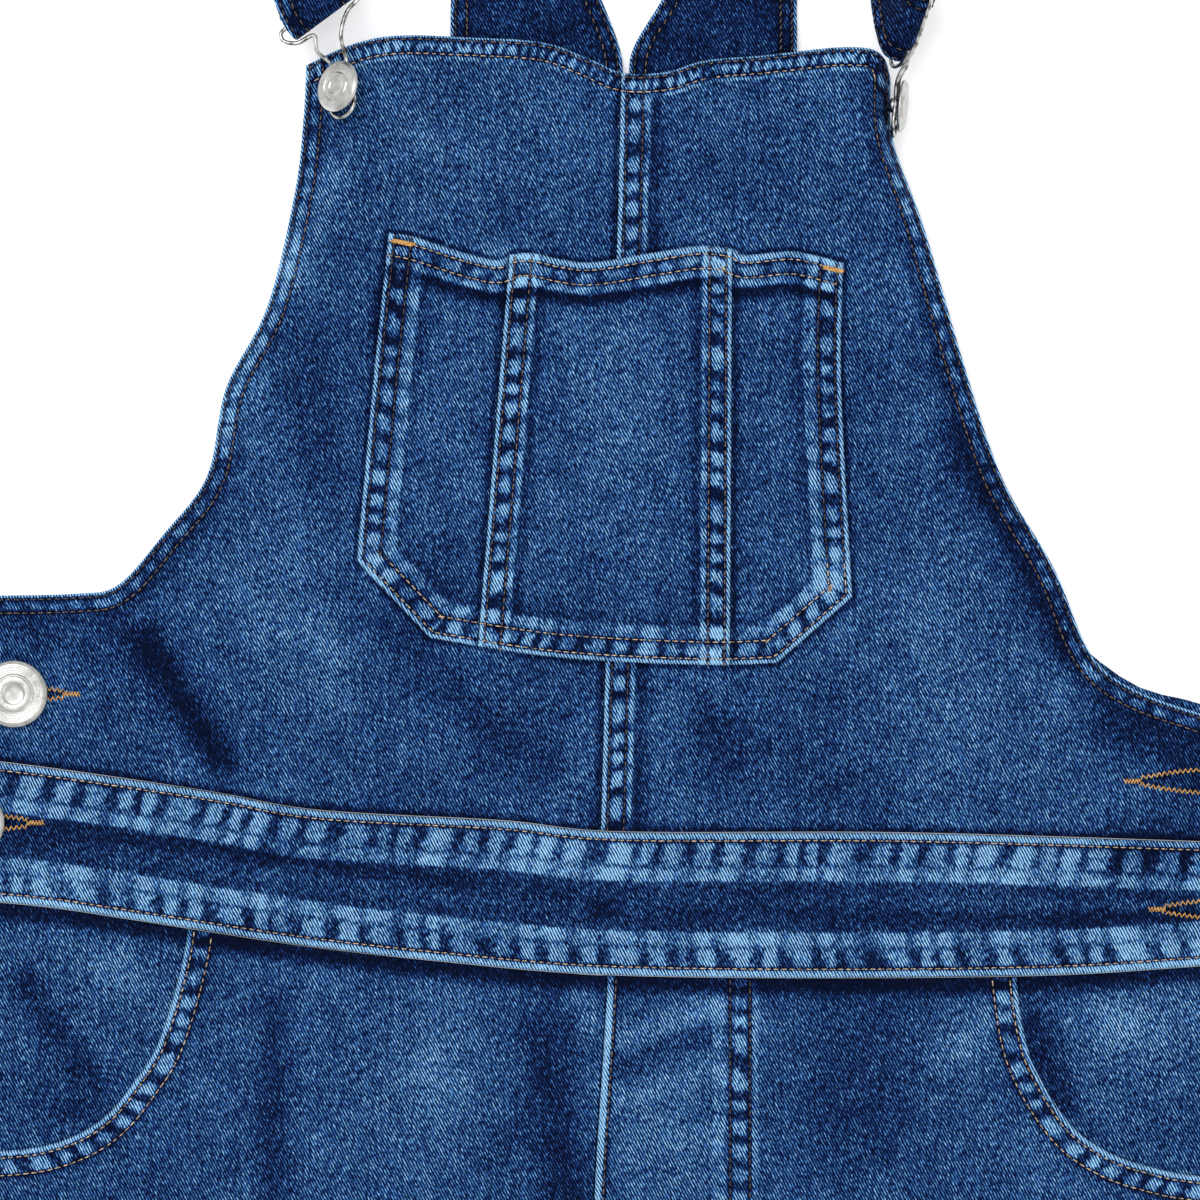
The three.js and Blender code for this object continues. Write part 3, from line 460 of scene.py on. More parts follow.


# Seams: how they raise the cloth, where they are worn pale or stay dark, and where painted shade
# and painted shadow darken them

def seam_form(side, along, seam):
    """(how far a seam raises each point, its tone: above 0 paler, below 0 darker). A seam has
    a worn lip at its fold, mottled cloth between its rows, a worn ridge past the last, painted
    shade in the grooves of its stitch rows, and painted shadow past its turned edge and just
    outside its fold."""
    slow = 0.5 + 0.5 * uneven(along, 29, seam.seed + 1)
    drift = along + 0.2 * side + 0.3 * seam.wave * uneven(along, 41, seam.seed)
    puff = np.sin(2 * math.pi * drift / seam.wave)
    mottled = smooth(puff + 0.45 * uneven(along + side, 3.1, seam.seed + 2), -0.7, 0.1)
    first = seam.rows[0].inset if seam.rows else 1.6
    last = seam.rows[-1].inset if len(seam.rows) > 1 else 0.68 * seam.width

    def zone(start, end):
        return smooth(side, start, start + 0.6) * (1 - smooth(side, end - 0.6, end))

    within = smooth(side, -0.9, 0.3) * (1 - smooth(side, seam.width - 0.7, seam.width + 0.7))
    raised = within * (seam.rise + 0.2 * seam.patch * puff)
    tone = seam.lip * zone(-0.4, first - 0.1) * (0.85 + 0.3 * slow)
    tone += seam.patch * zone(first + 0.3, last - 0.3) * (mottled * (0.95 + 0.7 * slow) - 0.55)
    tone += (seam.inner * zone(last + 0.3, seam.width) * (0.25 + 0.75 * mottled)
             * (0.35 + 0.75 * slow))
    # Painted shadow: darker past the seam's turned edge and on the cloth just outside its fold
    beyond = side - seam.width
    tone -= (seam.shade * smooth(beyond, -0.2, 0.5)
             * (1 - smooth(beyond, 0.25 * seam.reach, seam.reach)))
    tone -= seam.outer * smooth(-side, 0, 0.4) * (1 - smooth(-side, 0.7, 2.6))
    # Painted shade in each stitch groove, darkening the unworn cloth along the row
    for row in seam.rows:
        groove = bump(side, row.inset, 0.6)
        tone -= 1.15 * groove
        raised -= 0.25 * groove * within
    return raised, tone


def seams_form(xy, seams):
    raised, tone = np.zeros(len(xy)), np.zeros(len(xy))
    for seam in seams:
        low, high = seam.line.min(0) - 16, seam.line.max(0) + 16
        near = np.flatnonzero(((xy > low) & (xy < high)).all(1))
        if len(near):
            side, along = nearest(xy[near], seam.line)
            more, shade = seam_form(side * seam.side, along, seam)
            lifts = np.maximum(raised[near], more)
            raised[near] = np.where(more < 0, raised[near] + more, lifts)
            tone[near] += shade
    return raised, tone


# Meshes

def placed(points):
    return (np.asarray(points) + SHIFT) * MM


def mesh_object(name, verts, faces, values=None):
    mesh = bpy.data.meshes.new(name)
    mesh.from_pydata(placed(verts).tolist(), [], faces)
    for label, numbers in (values or {}).items():
        kind = "FLOAT" if np.ndim(numbers) == 1 else "FLOAT_VECTOR"
        field = "value" if kind == "FLOAT" else "vector"
        layer = mesh.attributes.new(label, kind, "POINT")
        layer.data.foreach_set(field, np.asarray(numbers, np.float32).ravel())
    mesh.polygons.foreach_set("use_smooth", [True] * len(mesh.polygons))
    obj = bpy.data.objects.new(name, mesh)
    bpy.context.scene.collection.objects.link(obj)
    return obj


def finish_piece(obj, nodes, material):
    obj.data.materials.append(material)
    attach(obj, "root")
    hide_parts(*nodes)


def dense_loop(loop, step=1.05):
    """A closed outline with more points along its long edges."""
    points = []
    for a, b in zip(loop, np.roll(loop, -1, axis=0)):
        count = max(1, math.ceil(np.linalg.norm(b - a) / step))
        points.append(a + (b - a) * (np.arange(count) / count)[:, None])
    return np.vstack(points)


def rim_points(loop, pitch):
    """A closed outline with its corners kept and a point at each pitch, coarser down the legs."""
    heading = np.diff(np.vstack([loop, loop[:1]]), axis=0)
    angle = np.unwrap(np.arctan2(heading[:, 1], heading[:, 0]))
    corner = np.abs(np.diff(angle, prepend=angle[-1:])) > 0.4
    points, since = [loop[0]], 0.0
    for i in range(1, len(loop)):
        since += np.linalg.norm(loop[i] - loop[i - 1])
        wanted = pitch if loop[i][1] > FINE_DOWN_TO else max(pitch, MEDIUM)
        if corner[i] or since >= wanted:
            points.append(loop[i])
            since = 0.0
    points = np.array(points)
    gaps = np.linalg.norm(points - np.roll(points, 1, axis=0), axis=1)
    return points[gaps > 0.3 * pitch]


def tree_of(points):
    tree = KDTree(len(points))
    for i, (x, y) in enumerate(points):
        tree.insert((x, y, 0), i)
    tree.balance()
    return tree


def distances(points, tree):
    return np.array([tree.find((x, y, 0))[2] for x, y in points])


def first_in_cells(points, cell):
    keys = np.floor(points / cell).astype(np.int64)
    order = np.unique(keys, axis=0, return_index=True)[1]
    return points[np.sort(order)]


def grid_points(loop, pitch):
    low, high = loop.min(0), loop.max(0)
    rows, y, odd = [], high[1], 0
    while y > low[1]:
        step = pitch if y > FINE_DOWN_TO else max(pitch, MEDIUM)
        x = np.arange(low[0] + odd * step / 2, high[0], step)
        rows.append(np.stack([x, np.full_like(x, y), np.full_like(x, step)], 1))
        y -= step * 0.87
        odd = 1 - odd
    points = np.vstack(rows)
    return points[inside(points[:, :2], loop)]


def seam_rings(seams, pitch):
    found = [np.zeros((0, 2))]
    for seam in seams:
        insets = {0.5, 1.1, seam.width - 0.6, seam.width, seam.width + 0.6, seam.width + 1.8}
        insets |= set(np.arange(2.8, seam.width - 1, 1.25))
        for row in seam.rows:
            insets |= {row.inset - 0.7, row.inset, row.inset + 0.7}
        for inset in sorted(insets):
            line = resampled(shifted(seam.line, seam.side * inset), pitch)
            coarse = line[:, 1] < FINE_DOWN_TO
            found += [line[~coarse], line[coarse][::3]]
    return np.vstack(found)


def seen_top(under, wall, seams, xy):
    """(height of the lower face, thickness, tone of worn places with painted shade and shadow)
    before the edges are rounded.
    """
    x, y = xy[:, 0], xy[:, 1]
    raised, tone = seams_form(xy, seams)
    return under(x, y), wall * slope_factor(under, x, y) + raised, tone


def polygon_area(loop):
    x, y = loop[:, 0], loop[:, 1]
    return 0.5 * abs(np.dot(x, np.roll(y, -1)) - np.dot(y, np.roll(x, -1)))


def cut_of(loop):
    """(width, length, area) of the cloth that a panel was cut from, in metres."""
    size = (loop.max(0) - loop.min(0) + 2 * SEAM_ALLOWANCE) * MM
    round_it = np.linalg.norm(loop - np.roll(loop, 1, axis=0), axis=1).sum()
    area = (polygon_area(loop) + SEAM_ALLOWANCE * round_it) * MM * MM
    return size[0], size[1], min(area, size[0] * size[1])


STITCHES = []


def sew(under, wall, seams, loop, holes=()):
    """Lays the stitches of every row of the seams on a panel's upper face."""
    for seam in seams:
        for row in seam.rows:
            line = resampled(shifted(seam.line, seam.side * row.inset), STITCH_PITCH)
            middle = (line[1:] + line[:-1]) / 2
            shown = inside(middle, loop)
            for hole in holes:
                shown &= ~inside(middle, hole)
            a, b = line[:-1][shown], line[1:][shown]
            if len(a) == 0:
                continue
            heights = []
            for point in (a, b, (a + b) / 2):
                base, thick, _ = seen_top(under, wall, seams, point)
                heights.append(base + thick)
            ends = np.column_stack([b - a, heights[1] - heights[0]])
            centres = np.column_stack([(a + b) / 2, heights[2] + STITCH_LIFT])
            gold = centres[:, 1] < seam.gold_below
            STITCHES.append((row.thread, centres[~gold], ends[~gold]))
            STITCHES.append(("gold", centres[gold], ends[gold]))


def panel(name, nodes, loop, under, seams=(), wall=WALL, pitch=FINE, holes=(), slot_name="denim"):
    """A wall of cloth with a rounded rim, over a surface."""
    loop = dense_loop(loop)
    rim = rim_points(loop, pitch)
    edges = [rim] + [rim_points(hole, 0.6) for hole in holes]
    fine = pitch <= FINE
    rings = seam_rings(seams if fine else (), pitch)
    for edge, sign in [(rim, 1)] + [(hole, -1) for hole in edges[1:]]:
        closed = np.vstack([edge, edge[:2]])
        for inset in ((0.35, 0.9, 1.7) if fine else (0.9,)):
            rings = np.vstack([shifted(closed, sign * inset)[1:-1], rings])
    dense = np.vstack([resampled(np.vstack([edge, edge[:1]]), 0.3) for edge in edges])
    rim_tree = tree_of(dense)
    rings = first_in_cells(rings, 0.55 if fine else 0.5 * pitch)
    rings = rings[inside(rings, rim)]
    rings = rings[distances(rings, rim_tree) > 0.25]
    grid = grid_points(loop, pitch)
    taken = tree_of(np.vstack([rings, rim]))
    grid = grid[distances(grid[:, :2], taken) > 0.62 * grid[:, 2]][:, :2]
    free = np.vstack([rings, grid])
    for hole in edges[1:]:
        free = free[~inside(free, hole)]
    points = np.vstack(edges + [free])
    constraints, start = [], 0
    for edge in edges:
        n = len(edge)
        constraints += [(start + i, start + (i + 1) % n) for i in range(n)]
        start += n
    found = geometry.delaunay_2d_cdt(
        [Vector(p) for p in points], constraints, [], 0, 1e-5, False)
    xy = np.array([tuple(v) for v in found[0]])
    tris = np.array(found[2])
    middle = xy[tris].mean(1)
    keep = inside(middle, rim)
    for hole in edges[1:]:
        keep &= ~inside(middle, hole)
    tris = tris[keep]
    used = np.unique(tris)
    renumber = np.full(len(xy), -1)
    renumber[used] = np.arange(len(used))
    xy, tris = xy[used], renumber[tris]
    p, q, r = xy[tris[:, 0]], xy[tris[:, 1]], xy[tris[:, 2]]
    turn = (q[:, 0] - p[:, 0]) * (r[:, 1] - p[:, 1]) - (q[:, 1] - p[:, 1]) * (r[:, 0] - p[:, 0])
    tris = np.where((turn < 0)[:, None], tris[:, ::-1], tris)
    count = len(xy)
    half = np.sort(np.concatenate([tris[:, [0, 1]], tris[:, [1, 2]], tris[:, [2, 0]]]), axis=1)
    pairs, times = np.unique(half, axis=0, return_counts=True)
    on_rim = np.zeros(count, bool)
    on_rim[pairs[times == 1].ravel()] = True
    base, thick, tone = seen_top(under, wall, seams, xy)
    inset = np.where(on_rim, 0, distances(xy, rim_tree))
    share = 1 - np.clip(inset / EDGE_ROUND, 0, 1)
    curl = (1 - np.sqrt(1 - share ** 2)) * thick / 2
    top = np.column_stack([xy, base + thick - curl])
    low = np.column_stack([xy, base + curl])
    below = np.arange(count)
    below[~on_rim] = count + np.arange((~on_rim).sum())
    verts = np.vstack([top, low[~on_rim]])
    faces = tris.tolist() + below[tris[:, ::-1]].tolist()
    # Crease ridges drawn paler and troughs darker: worn crests, with painted shade in the troughs;
    # then the broad patches of worn cloth with painted shade and light
    tone = tone + 0.16 * ridges(*xy.T, CREASES) + ridges(*xy.T, WEAR_AND_SHADING_PATCHES)
    fade = np.concatenate([tone, np.zeros((~on_rim).sum())])
    obj = mesh_object(name, verts, faces, {"fade": fade})
    finish_piece(obj, nodes, MATERIALS[slot_name])
    width, length, area = cut_of(loop)
    sew(under, wall, seams, loop, edges[1:])


# Materials

class Tree:
    """A material's node tree, built link by link."""

    def __init__(self, name):
        self.material = bpy.data.materials.new(name)
        self.material.use_nodes = True
        self.tree = self.material.node_tree
        self.tree.nodes.clear()
        out = self.add("ShaderNodeOutputMaterial")
        self.shader = self.add("ShaderNodeBsdfPrincipled")
        self.link(self.shader.outputs[0], out.inputs["Surface"])

    def add(self, kind, **settings):
        node = self.tree.nodes.new(kind)
        for key, value in settings.items():
            setattr(node, key, value)
        return node

    def link(self, source, target):
        self.tree.links.new(source, target)

    def math(self, operation, *values):
        node = self.add("ShaderNodeMath", operation=operation)
        for target, value in zip(node.inputs, values):
            if isinstance(value, bpy.types.NodeSocket):
                self.link(value, target)
            else:
                target.default_value = value
        return node.outputs[0]

    def turned(self, vector, angle, scale):
        turn = self.add("ShaderNodeMapping")
        turn.inputs["Rotation"].default_value = (0, 0, math.radians(angle))
        self.link(vector, turn.inputs["Vector"])
        stretch = self.add("ShaderNodeVectorMath", operation="MULTIPLY")
        self.link(turn.outputs[0], stretch.inputs[0])
        stretch.inputs[1].default_value = scale
        return stretch.outputs[0]

    def noise(self, vector, scale, detail=2.0, rough=0.5):
        node = self.add("ShaderNodeTexNoise")
        node.inputs["Scale"].default_value = scale
        node.inputs["Detail"].default_value = detail
        node.inputs["Roughness"].default_value = rough
        self.link(vector, node.inputs["Vector"])
        return node.outputs["Fac"]

    def object_place(self):
        return self.add("ShaderNodeTexCoord").outputs["Object"]

    def attribute(self, name):
        return self.add("ShaderNodeAttribute", attribute_name=name).outputs["Fac"]

    def ramp(self, value, stops):
        node = self.add("ShaderNodeValToRGB")
        elements = node.color_ramp.elements
        while len(elements) < len(stops):
            elements.new(0.5)
        for element, (place, colour) in zip(elements, stops):
            element.position = place
            element.color = (*colour, 1)
        self.link(value, node.inputs[0])
        return node.outputs[0]

    def bump(self, height, distance, strength=1.0):
        node = self.add("ShaderNodeBump")
        node.inputs["Strength"].default_value = strength
        node.inputs["Distance"].default_value = distance
        self.link(height, node.inputs["Height"])
        self.link(node.outputs[0], self.shader.inputs["Normal"])


TWILL_PITCH = 0.82 * MM
TWILL_LEAN = -27.0

DENIM_STOPS = [
    (0.0, (0.0008, 0.0028, 0.015)), (0.2, (0.0025, 0.0095, 0.052)),
    (0.4, (0.0085, 0.038, 0.165)), (0.58, (0.034, 0.125, 0.36)), (0.78, (0.11, 0.32, 0.62)),
    (1.0, (0.36, 0.64, 0.87))]


def denim(name, level, contrast):
    """Washed twill: pale flecked lines that lean over dark weft, cloudy wash and worn edges, with
    the painted shade, shadow and light that the per-point tone attribute carries.
    """
    t = Tree(name)
    place = t.object_place()
    wave = t.add("ShaderNodeTexWave", wave_type="BANDS", bands_direction="X")
    wave.inputs["Scale"].default_value = 2 * math.pi / (20 * TWILL_PITCH)
    wave.inputs["Distortion"].default_value = 1.5
    wave.inputs["Detail"].default_value = 1.0
    wave.inputs["Detail Scale"].default_value = 0.9
    t.link(t.turned(place, TWILL_LEAN, (1, 1, 1)), wave.inputs["Vector"])
    line = wave.outputs["Fac"]
    fleck = t.noise(t.turned(place, TWILL_LEAN, (1900, 620, 1)), 1.0, 2.0, 0.65)
    slub = t.noise(t.turned(place, 0, (760, 60, 1)), 1.0, 2.0)
    weft = t.noise(t.turned(place, 0, (90, 900, 1)), 1.0, 1.0)
    cloud = t.noise(place, 26.0, 3.0)
    patch = t.noise(place, 150.0, 2.0)
    # The per-point tone: worn places, with painted shade, shadow and light from seams, creases and
    # folds
    fade = t.attribute("fade")
    lined = t.math("MULTIPLY_ADD", fade, 0.3, 0.7 * contrast)
    parts = [
        (line, lined), (fleck, 2.0 * contrast), (slub, 0.34), (weft, 0.12), (cloud, 0.32),
        (patch, 0.30)]
    value = t.math("MULTIPLY_ADD", fade, 0.42, level)
    for source, weight in parts:
        value = t.math("MULTIPLY_ADD", t.math("SUBTRACT", source, 0.5), weight, value)
    t.link(t.ramp(value, DENIM_STOPS), t.shader.inputs["Base Color"])
    height = t.math("MULTIPLY_ADD", fleck, 0.9, line)
    t.bump(height, 0.00016, 0.9)
    t.shader.inputs["Roughness"].default_value = 0.9
    t.shader.inputs["Specular IOR Level"].default_value = 0.06
    return t.material


def thread(name, dark, pale):
    t = Tree(name)
    twist = t.noise(t.object_place(), 1900.0, 1.0)
    t.link(t.ramp(twist, [(0.36, dark), (0.62, pale)]), t.shader.inputs["Base Color"])
    t.bump(twist, 0.00008, 0.6)
    t.shader.inputs["Roughness"].default_value = 0.6
    t.shader.inputs["Specular IOR Level"].default_value = 0.35
    return t.material


def metal(name, colour, low, rough, grain, depth):
    t = Tree(name)
    place = t.object_place()
    # Painted reflection: dark streaks in the metal's colour stand in for dark reflections, and the
    # same noise varies its roughness
    reflection_streaks = t.noise(place, 420.0, 3.0)
    shade = [(0.36, tuple(low * c for c in colour)), (0.6, colour)]
    t.link(t.ramp(reflection_streaks, shade), t.shader.inputs["Base Color"])
    t.link(t.math("MULTIPLY_ADD", reflection_streaks, 0.16, rough - 0.08), t.shader.inputs["Roughness"])
    fine = t.noise(t.turned(place, 20, grain), 1.0, 1.0)
    t.bump(fine, depth, 0.5)
    t.shader.inputs["Metallic"].default_value = 1.0
    return t.material


MATERIALS = {
    "denim": denim("denim", 0.285, 1.0),
    "band_denim": denim("band_denim", 0.28, 1.05),
    "button_metal": metal("button_metal", (0.56, 0.56, 0.54), 0.75, 0.3, (2600, 2600, 2600), 5e-5),
    "wire_metal": metal("wire_metal", (0.62, 0.62, 0.60), 0.12, 0.2, (900, 900, 900), 2e-5),
    "gold": thread("gold_thread", (0.06, 0.04, 0.03), (0.80, 0.60, 0.39)),
    "tack": thread("tack_thread", (0.34, 0.15, 0.03), (0.72, 0.42, 0.13)),
    "brown": thread("brown_thread", (0.010, 0.010, 0.013), (0.26, 0.18, 0.12)),
    "dark": thread("dark_thread", (0.005, 0.007, 0.014), (0.13, 0.10, 0.08)),
}


# Panels

centre, fly = spline(CENTRE_SEAM, 2), spline(FLY_SEAM, 2)
top_edge, left_arm, right_arm = spline(BIB_TOP), spline(LEFT_ARMHOLE), spline(RIGHT_ARMHOLE)
left_side, right_side = spline(LEFT_SIDE), spline(RIGHT_SIDE)
band_top, band_bottom = spline(BAND_TOP), spline(BAND_BOTTOM)
left_scoop, right_scoop = spline(LEFT_SCOOP), spline(RIGHT_SCOOP)
left_inseam, right_inseam = spline(LEFT_INSEAM), spline(RIGHT_INSEAM)
EDGE = GAP / 2

ARM_ROWS = (Row(1.3, "dark"), Row(5.4, "brown"))

arm_left_seam = Seam(left_arm, 1, ARMHOLE_HEM, ARM_ROWS, 11, lip=1.1, patch=0.45, shade=0.2)
arm_right_seam = Seam(right_arm, -1, ARMHOLE_HEM, ARM_ROWS, 13, lip=1.3, patch=0.5, shade=0.3)
top_seam = Seam(top_edge, -1, TOP_HEM, (Row(1.2, "brown"), Row(5.5, "gold")), 17, lip=1.3,
                patch=1.25, inner=1.1, wave=3.2)
centre_seam = Seam(centre, 1, FELLED_WIDTH, (Row(2.1, "dark"), Row(7, "dark")), 19, lip=1.2,
                   patch=1.1, inner=1.2, shade=0.45, reach=6, outer=0.7)
# A painted shadow on the bib along the top of the waistband
over_band = Seam(band_top, 1, 0, rise=0, lip=0, patch=0, shade=0.7, reach=2.6)
band_upper = Seam(band_top, -1, BAND_TURNING, (Row(2.5, "gold"),), 29, rise=0, patch=0.85,
                  inner=1.0, shade=0.3, reach=8, wave=8.8)
band_lower = Seam(band_bottom, 1, BAND_TURNING - 1, (Row(2.8, "gold"),), 31, rise=0, lip=1.2,
                  patch=0.85, inner=1.0, shade=0.3, reach=8, wave=9.2)
# A painted shadow on the legs and facings below the waistband
under_band = Seam(band_bottom, -1, 0, rise=0, lip=0, patch=0, shade=0.95, reach=7)
side_left_seam = Seam(left_side, 1, 2.4, rise=0.2, lip=0.7, patch=0)
side_right_seam = Seam(right_side, -1, 2.4, rise=0.2, lip=0.7, patch=0)


POCKET_LINES = [spline(t) for t in (POCKET_TOP, POCKET_RIGHT, POCKET_BOTTOM, POCKET_LEFT)]


def pocket_ring():
    top, right, foot, left = POCKET_LINES
    return np.vstack([top[::-1], left[::-1][1:], foot[::-1], right[::-1][:-1]])


POCKET_RING = pocket_ring()
# A painted shadow: a dark line on the bib just outside the pocket's edge
round_pocket = Seam(dense_loop(np.vstack([POCKET_RING, POCKET_RING[:1]])), -1, 0, rise=0, lip=0,
                    patch=0, shade=0.6, reach=2)


def bibs():
    side = clip(left_side, over(left_side, band_top) - EDGE)
    foot = shifted(band_top, EDGE)
    foot = clip(foot, np.minimum(-off(foot, CENTRE_SEAM) - EDGE, foot[:, 0] - side[-1, 0]))
    top = clip(top_edge, -off(top_edge, CENTRE_SEAM) - EDGE)
    loop = np.vstack([top[::-1], left_arm[1:], side[1:], foot])
    holes = [buttonhole(b) for b in SIDE_BUTTONS if b.name == "left_upper"]
    panel("front_bib_left_cloth", ["front_bib_left"], loop, bib_under,
          (arm_left_seam, top_seam, centre_seam, over_band, side_left_seam, round_pocket),
          holes=holes)

    side = clip(right_side, over(right_side, band_top) - EDGE)
    foot = shifted(band_top, EDGE)
    foot = clip(foot, np.minimum(off(foot, CENTRE_SEAM) - EDGE, side[-1, 0] - foot[:, 0]))
    top = clip(top_edge, off(top_edge, CENTRE_SEAM) - EDGE)
    loop = np.vstack([foot, side[::-1], right_arm[::-1][1:], top[::-1][1:]])
    holes = [buttonhole(b) for b in SIDE_BUTTONS if b.name == "right_upper"]
    panel("front_bib_right_cloth", ["front_bib_right"], loop, bib_under,
          (arm_right_seam, top_seam, centre_seam, over_band, side_right_seam, round_pocket),
          holes=holes)


def band_loop():
    upper, lower = shifted(band_top, -EDGE), shifted(band_bottom, EDGE)
    left = clip(left_side, np.minimum(-over(left_side, upper), over(left_side, lower)))
    right = clip(right_side, np.minimum(-over(right_side, upper), over(right_side, lower)))
    upper = clip(upper, np.minimum(upper[:, 0] - left[0, 0], right[0, 0] - upper[:, 0]))
    lower = clip(lower, np.minimum(lower[:, 0] - left[-1, 0], right[-1, 0] - lower[:, 0]))
    return np.vstack([upper[::-1], left[1:], lower[1:], right[::-1][1:-1]])


def waistband():
    holes = [buttonhole(b) for b in SIDE_BUTTONS if b.name.endswith("lower")]
    panel("front_waistband_cloth", ["front_waistband"], band_loop(), bib_under,
          (band_upper, band_lower), wall=WALL + BAND_RISE, holes=holes,
          slot_name="band_denim")


def chaikin(points, times=2):
    for _ in range(times):
        ahead = np.roll(points, -1, axis=0)
        points = np.stack([0.75 * points + 0.25 * ahead, 0.25 * points + 0.75 * ahead], 1)
        points = points.reshape(-1, points.shape[-1])
    return points


def buttonhole(button):
    """A keyhole slit, counter-clockwise."""
    out = 1 if button.x > button.tail_x else -1
    clear, wide = 3.2, button.open / 2
    angles = np.radians(np.linspace(-100, 100, 9))
    head = [(button.x + out * clear * math.cos(a), button.y + clear * math.sin(a))
            for a in angles]
    mid = (button.x + button.tail_x) / 2
    near = button.x - out * clear
    tail = [
        (near, button.y + max(wide, 0.8)), (mid, button.y + wide),
        (button.tail_x, button.y + 0.3), (button.tail_x, button.y - 0.3),
        (mid, button.y - wide), (near, button.y - max(wide, 0.8))]
    loop = np.array(head + tail)
    loop = loop if out > 0 else loop[::-1]
    loop = chaikin(loop)
    return resampled(np.vstack([loop, loop[:1]]), 0.5)[:-1]


def pocket():
    top, right, foot, left = POCKET_LINES
    round_line = resampled(np.vstack([right, foot, left]), 1.0)
    ring = POCKET_RING
    seam_left, seam_right = spline(POCKET_SEAM_LEFT, 2), spline(POCKET_SEAM_RIGHT, 2)
    rise = 0.8 * HEM_RISE
    strip_rows = (Row(1.9, "brown"), Row(6.9, "brown"))
    seams = [
        Seam(top, -1, POCKET_HEM, (Row(2.5, "gold"), Row(6.9, "gold")), 47, rise, patch=0.6,
             inner=1, shade=0.9, reach=5, wave=7),
        Seam(round_line, -1, POCKET_TURNING, (Row(1.9, "dark"), Row(7, "dark")), 53, rise,
             lip=1.2, patch=0.95, inner=0.9, shade=0.2, wave=7.4, gold_below=POCKET_LEFT[0].y),
        Seam(seam_left, 1, FELLED_WIDTH, strip_rows, 59, rise, lip=1.25, patch=1.15, inner=1.2,
             shade=0.4, outer=0.7),
        Seam(seam_right, -1, FELLED_WIDTH, strip_rows, 61, rise, lip=1.25, patch=1.15, inner=1.2,
             shade=0.4, outer=0.7)]
    left_loop = clip(ring, -off(ring, POCKET_SEAM_LEFT) - EDGE)
    turned = np.roll(ring, -len(top) - len(left) // 2, axis=0)
    right_loop = clip(turned, off(turned, POCKET_SEAM_RIGHT) - EDGE)

    def within(line):
        return np.minimum(
            off(line, POCKET_SEAM_LEFT) - EDGE, -off(line, POCKET_SEAM_RIGHT) - EDGE)

    middle_loop = np.vstack([clip(top, within(top))[::-1], clip(foot[::-1], within(foot[::-1]))])
    for side, loop in (("left", left_loop), ("centre", middle_loop), ("right", right_loop)):
        panel(f"bib_pocket_{side}_cloth", [f"bib_pocket_{side}"], loop, pocket_under, seams)


def fly_line():
    x, y = FLY_SEAM[0].x, -FLY_DEPTH
    angles = np.radians(np.linspace(0, -90, 24))
    turn = np.column_stack([x + FLY_WIDTH * np.cos(angles), y + FLY_TURN * np.sin(angles)])
    return resampled(np.vstack([[(x + FLY_WIDTH, -20)], turn, [(x - 8, y - FLY_TURN)]]), 1.0)


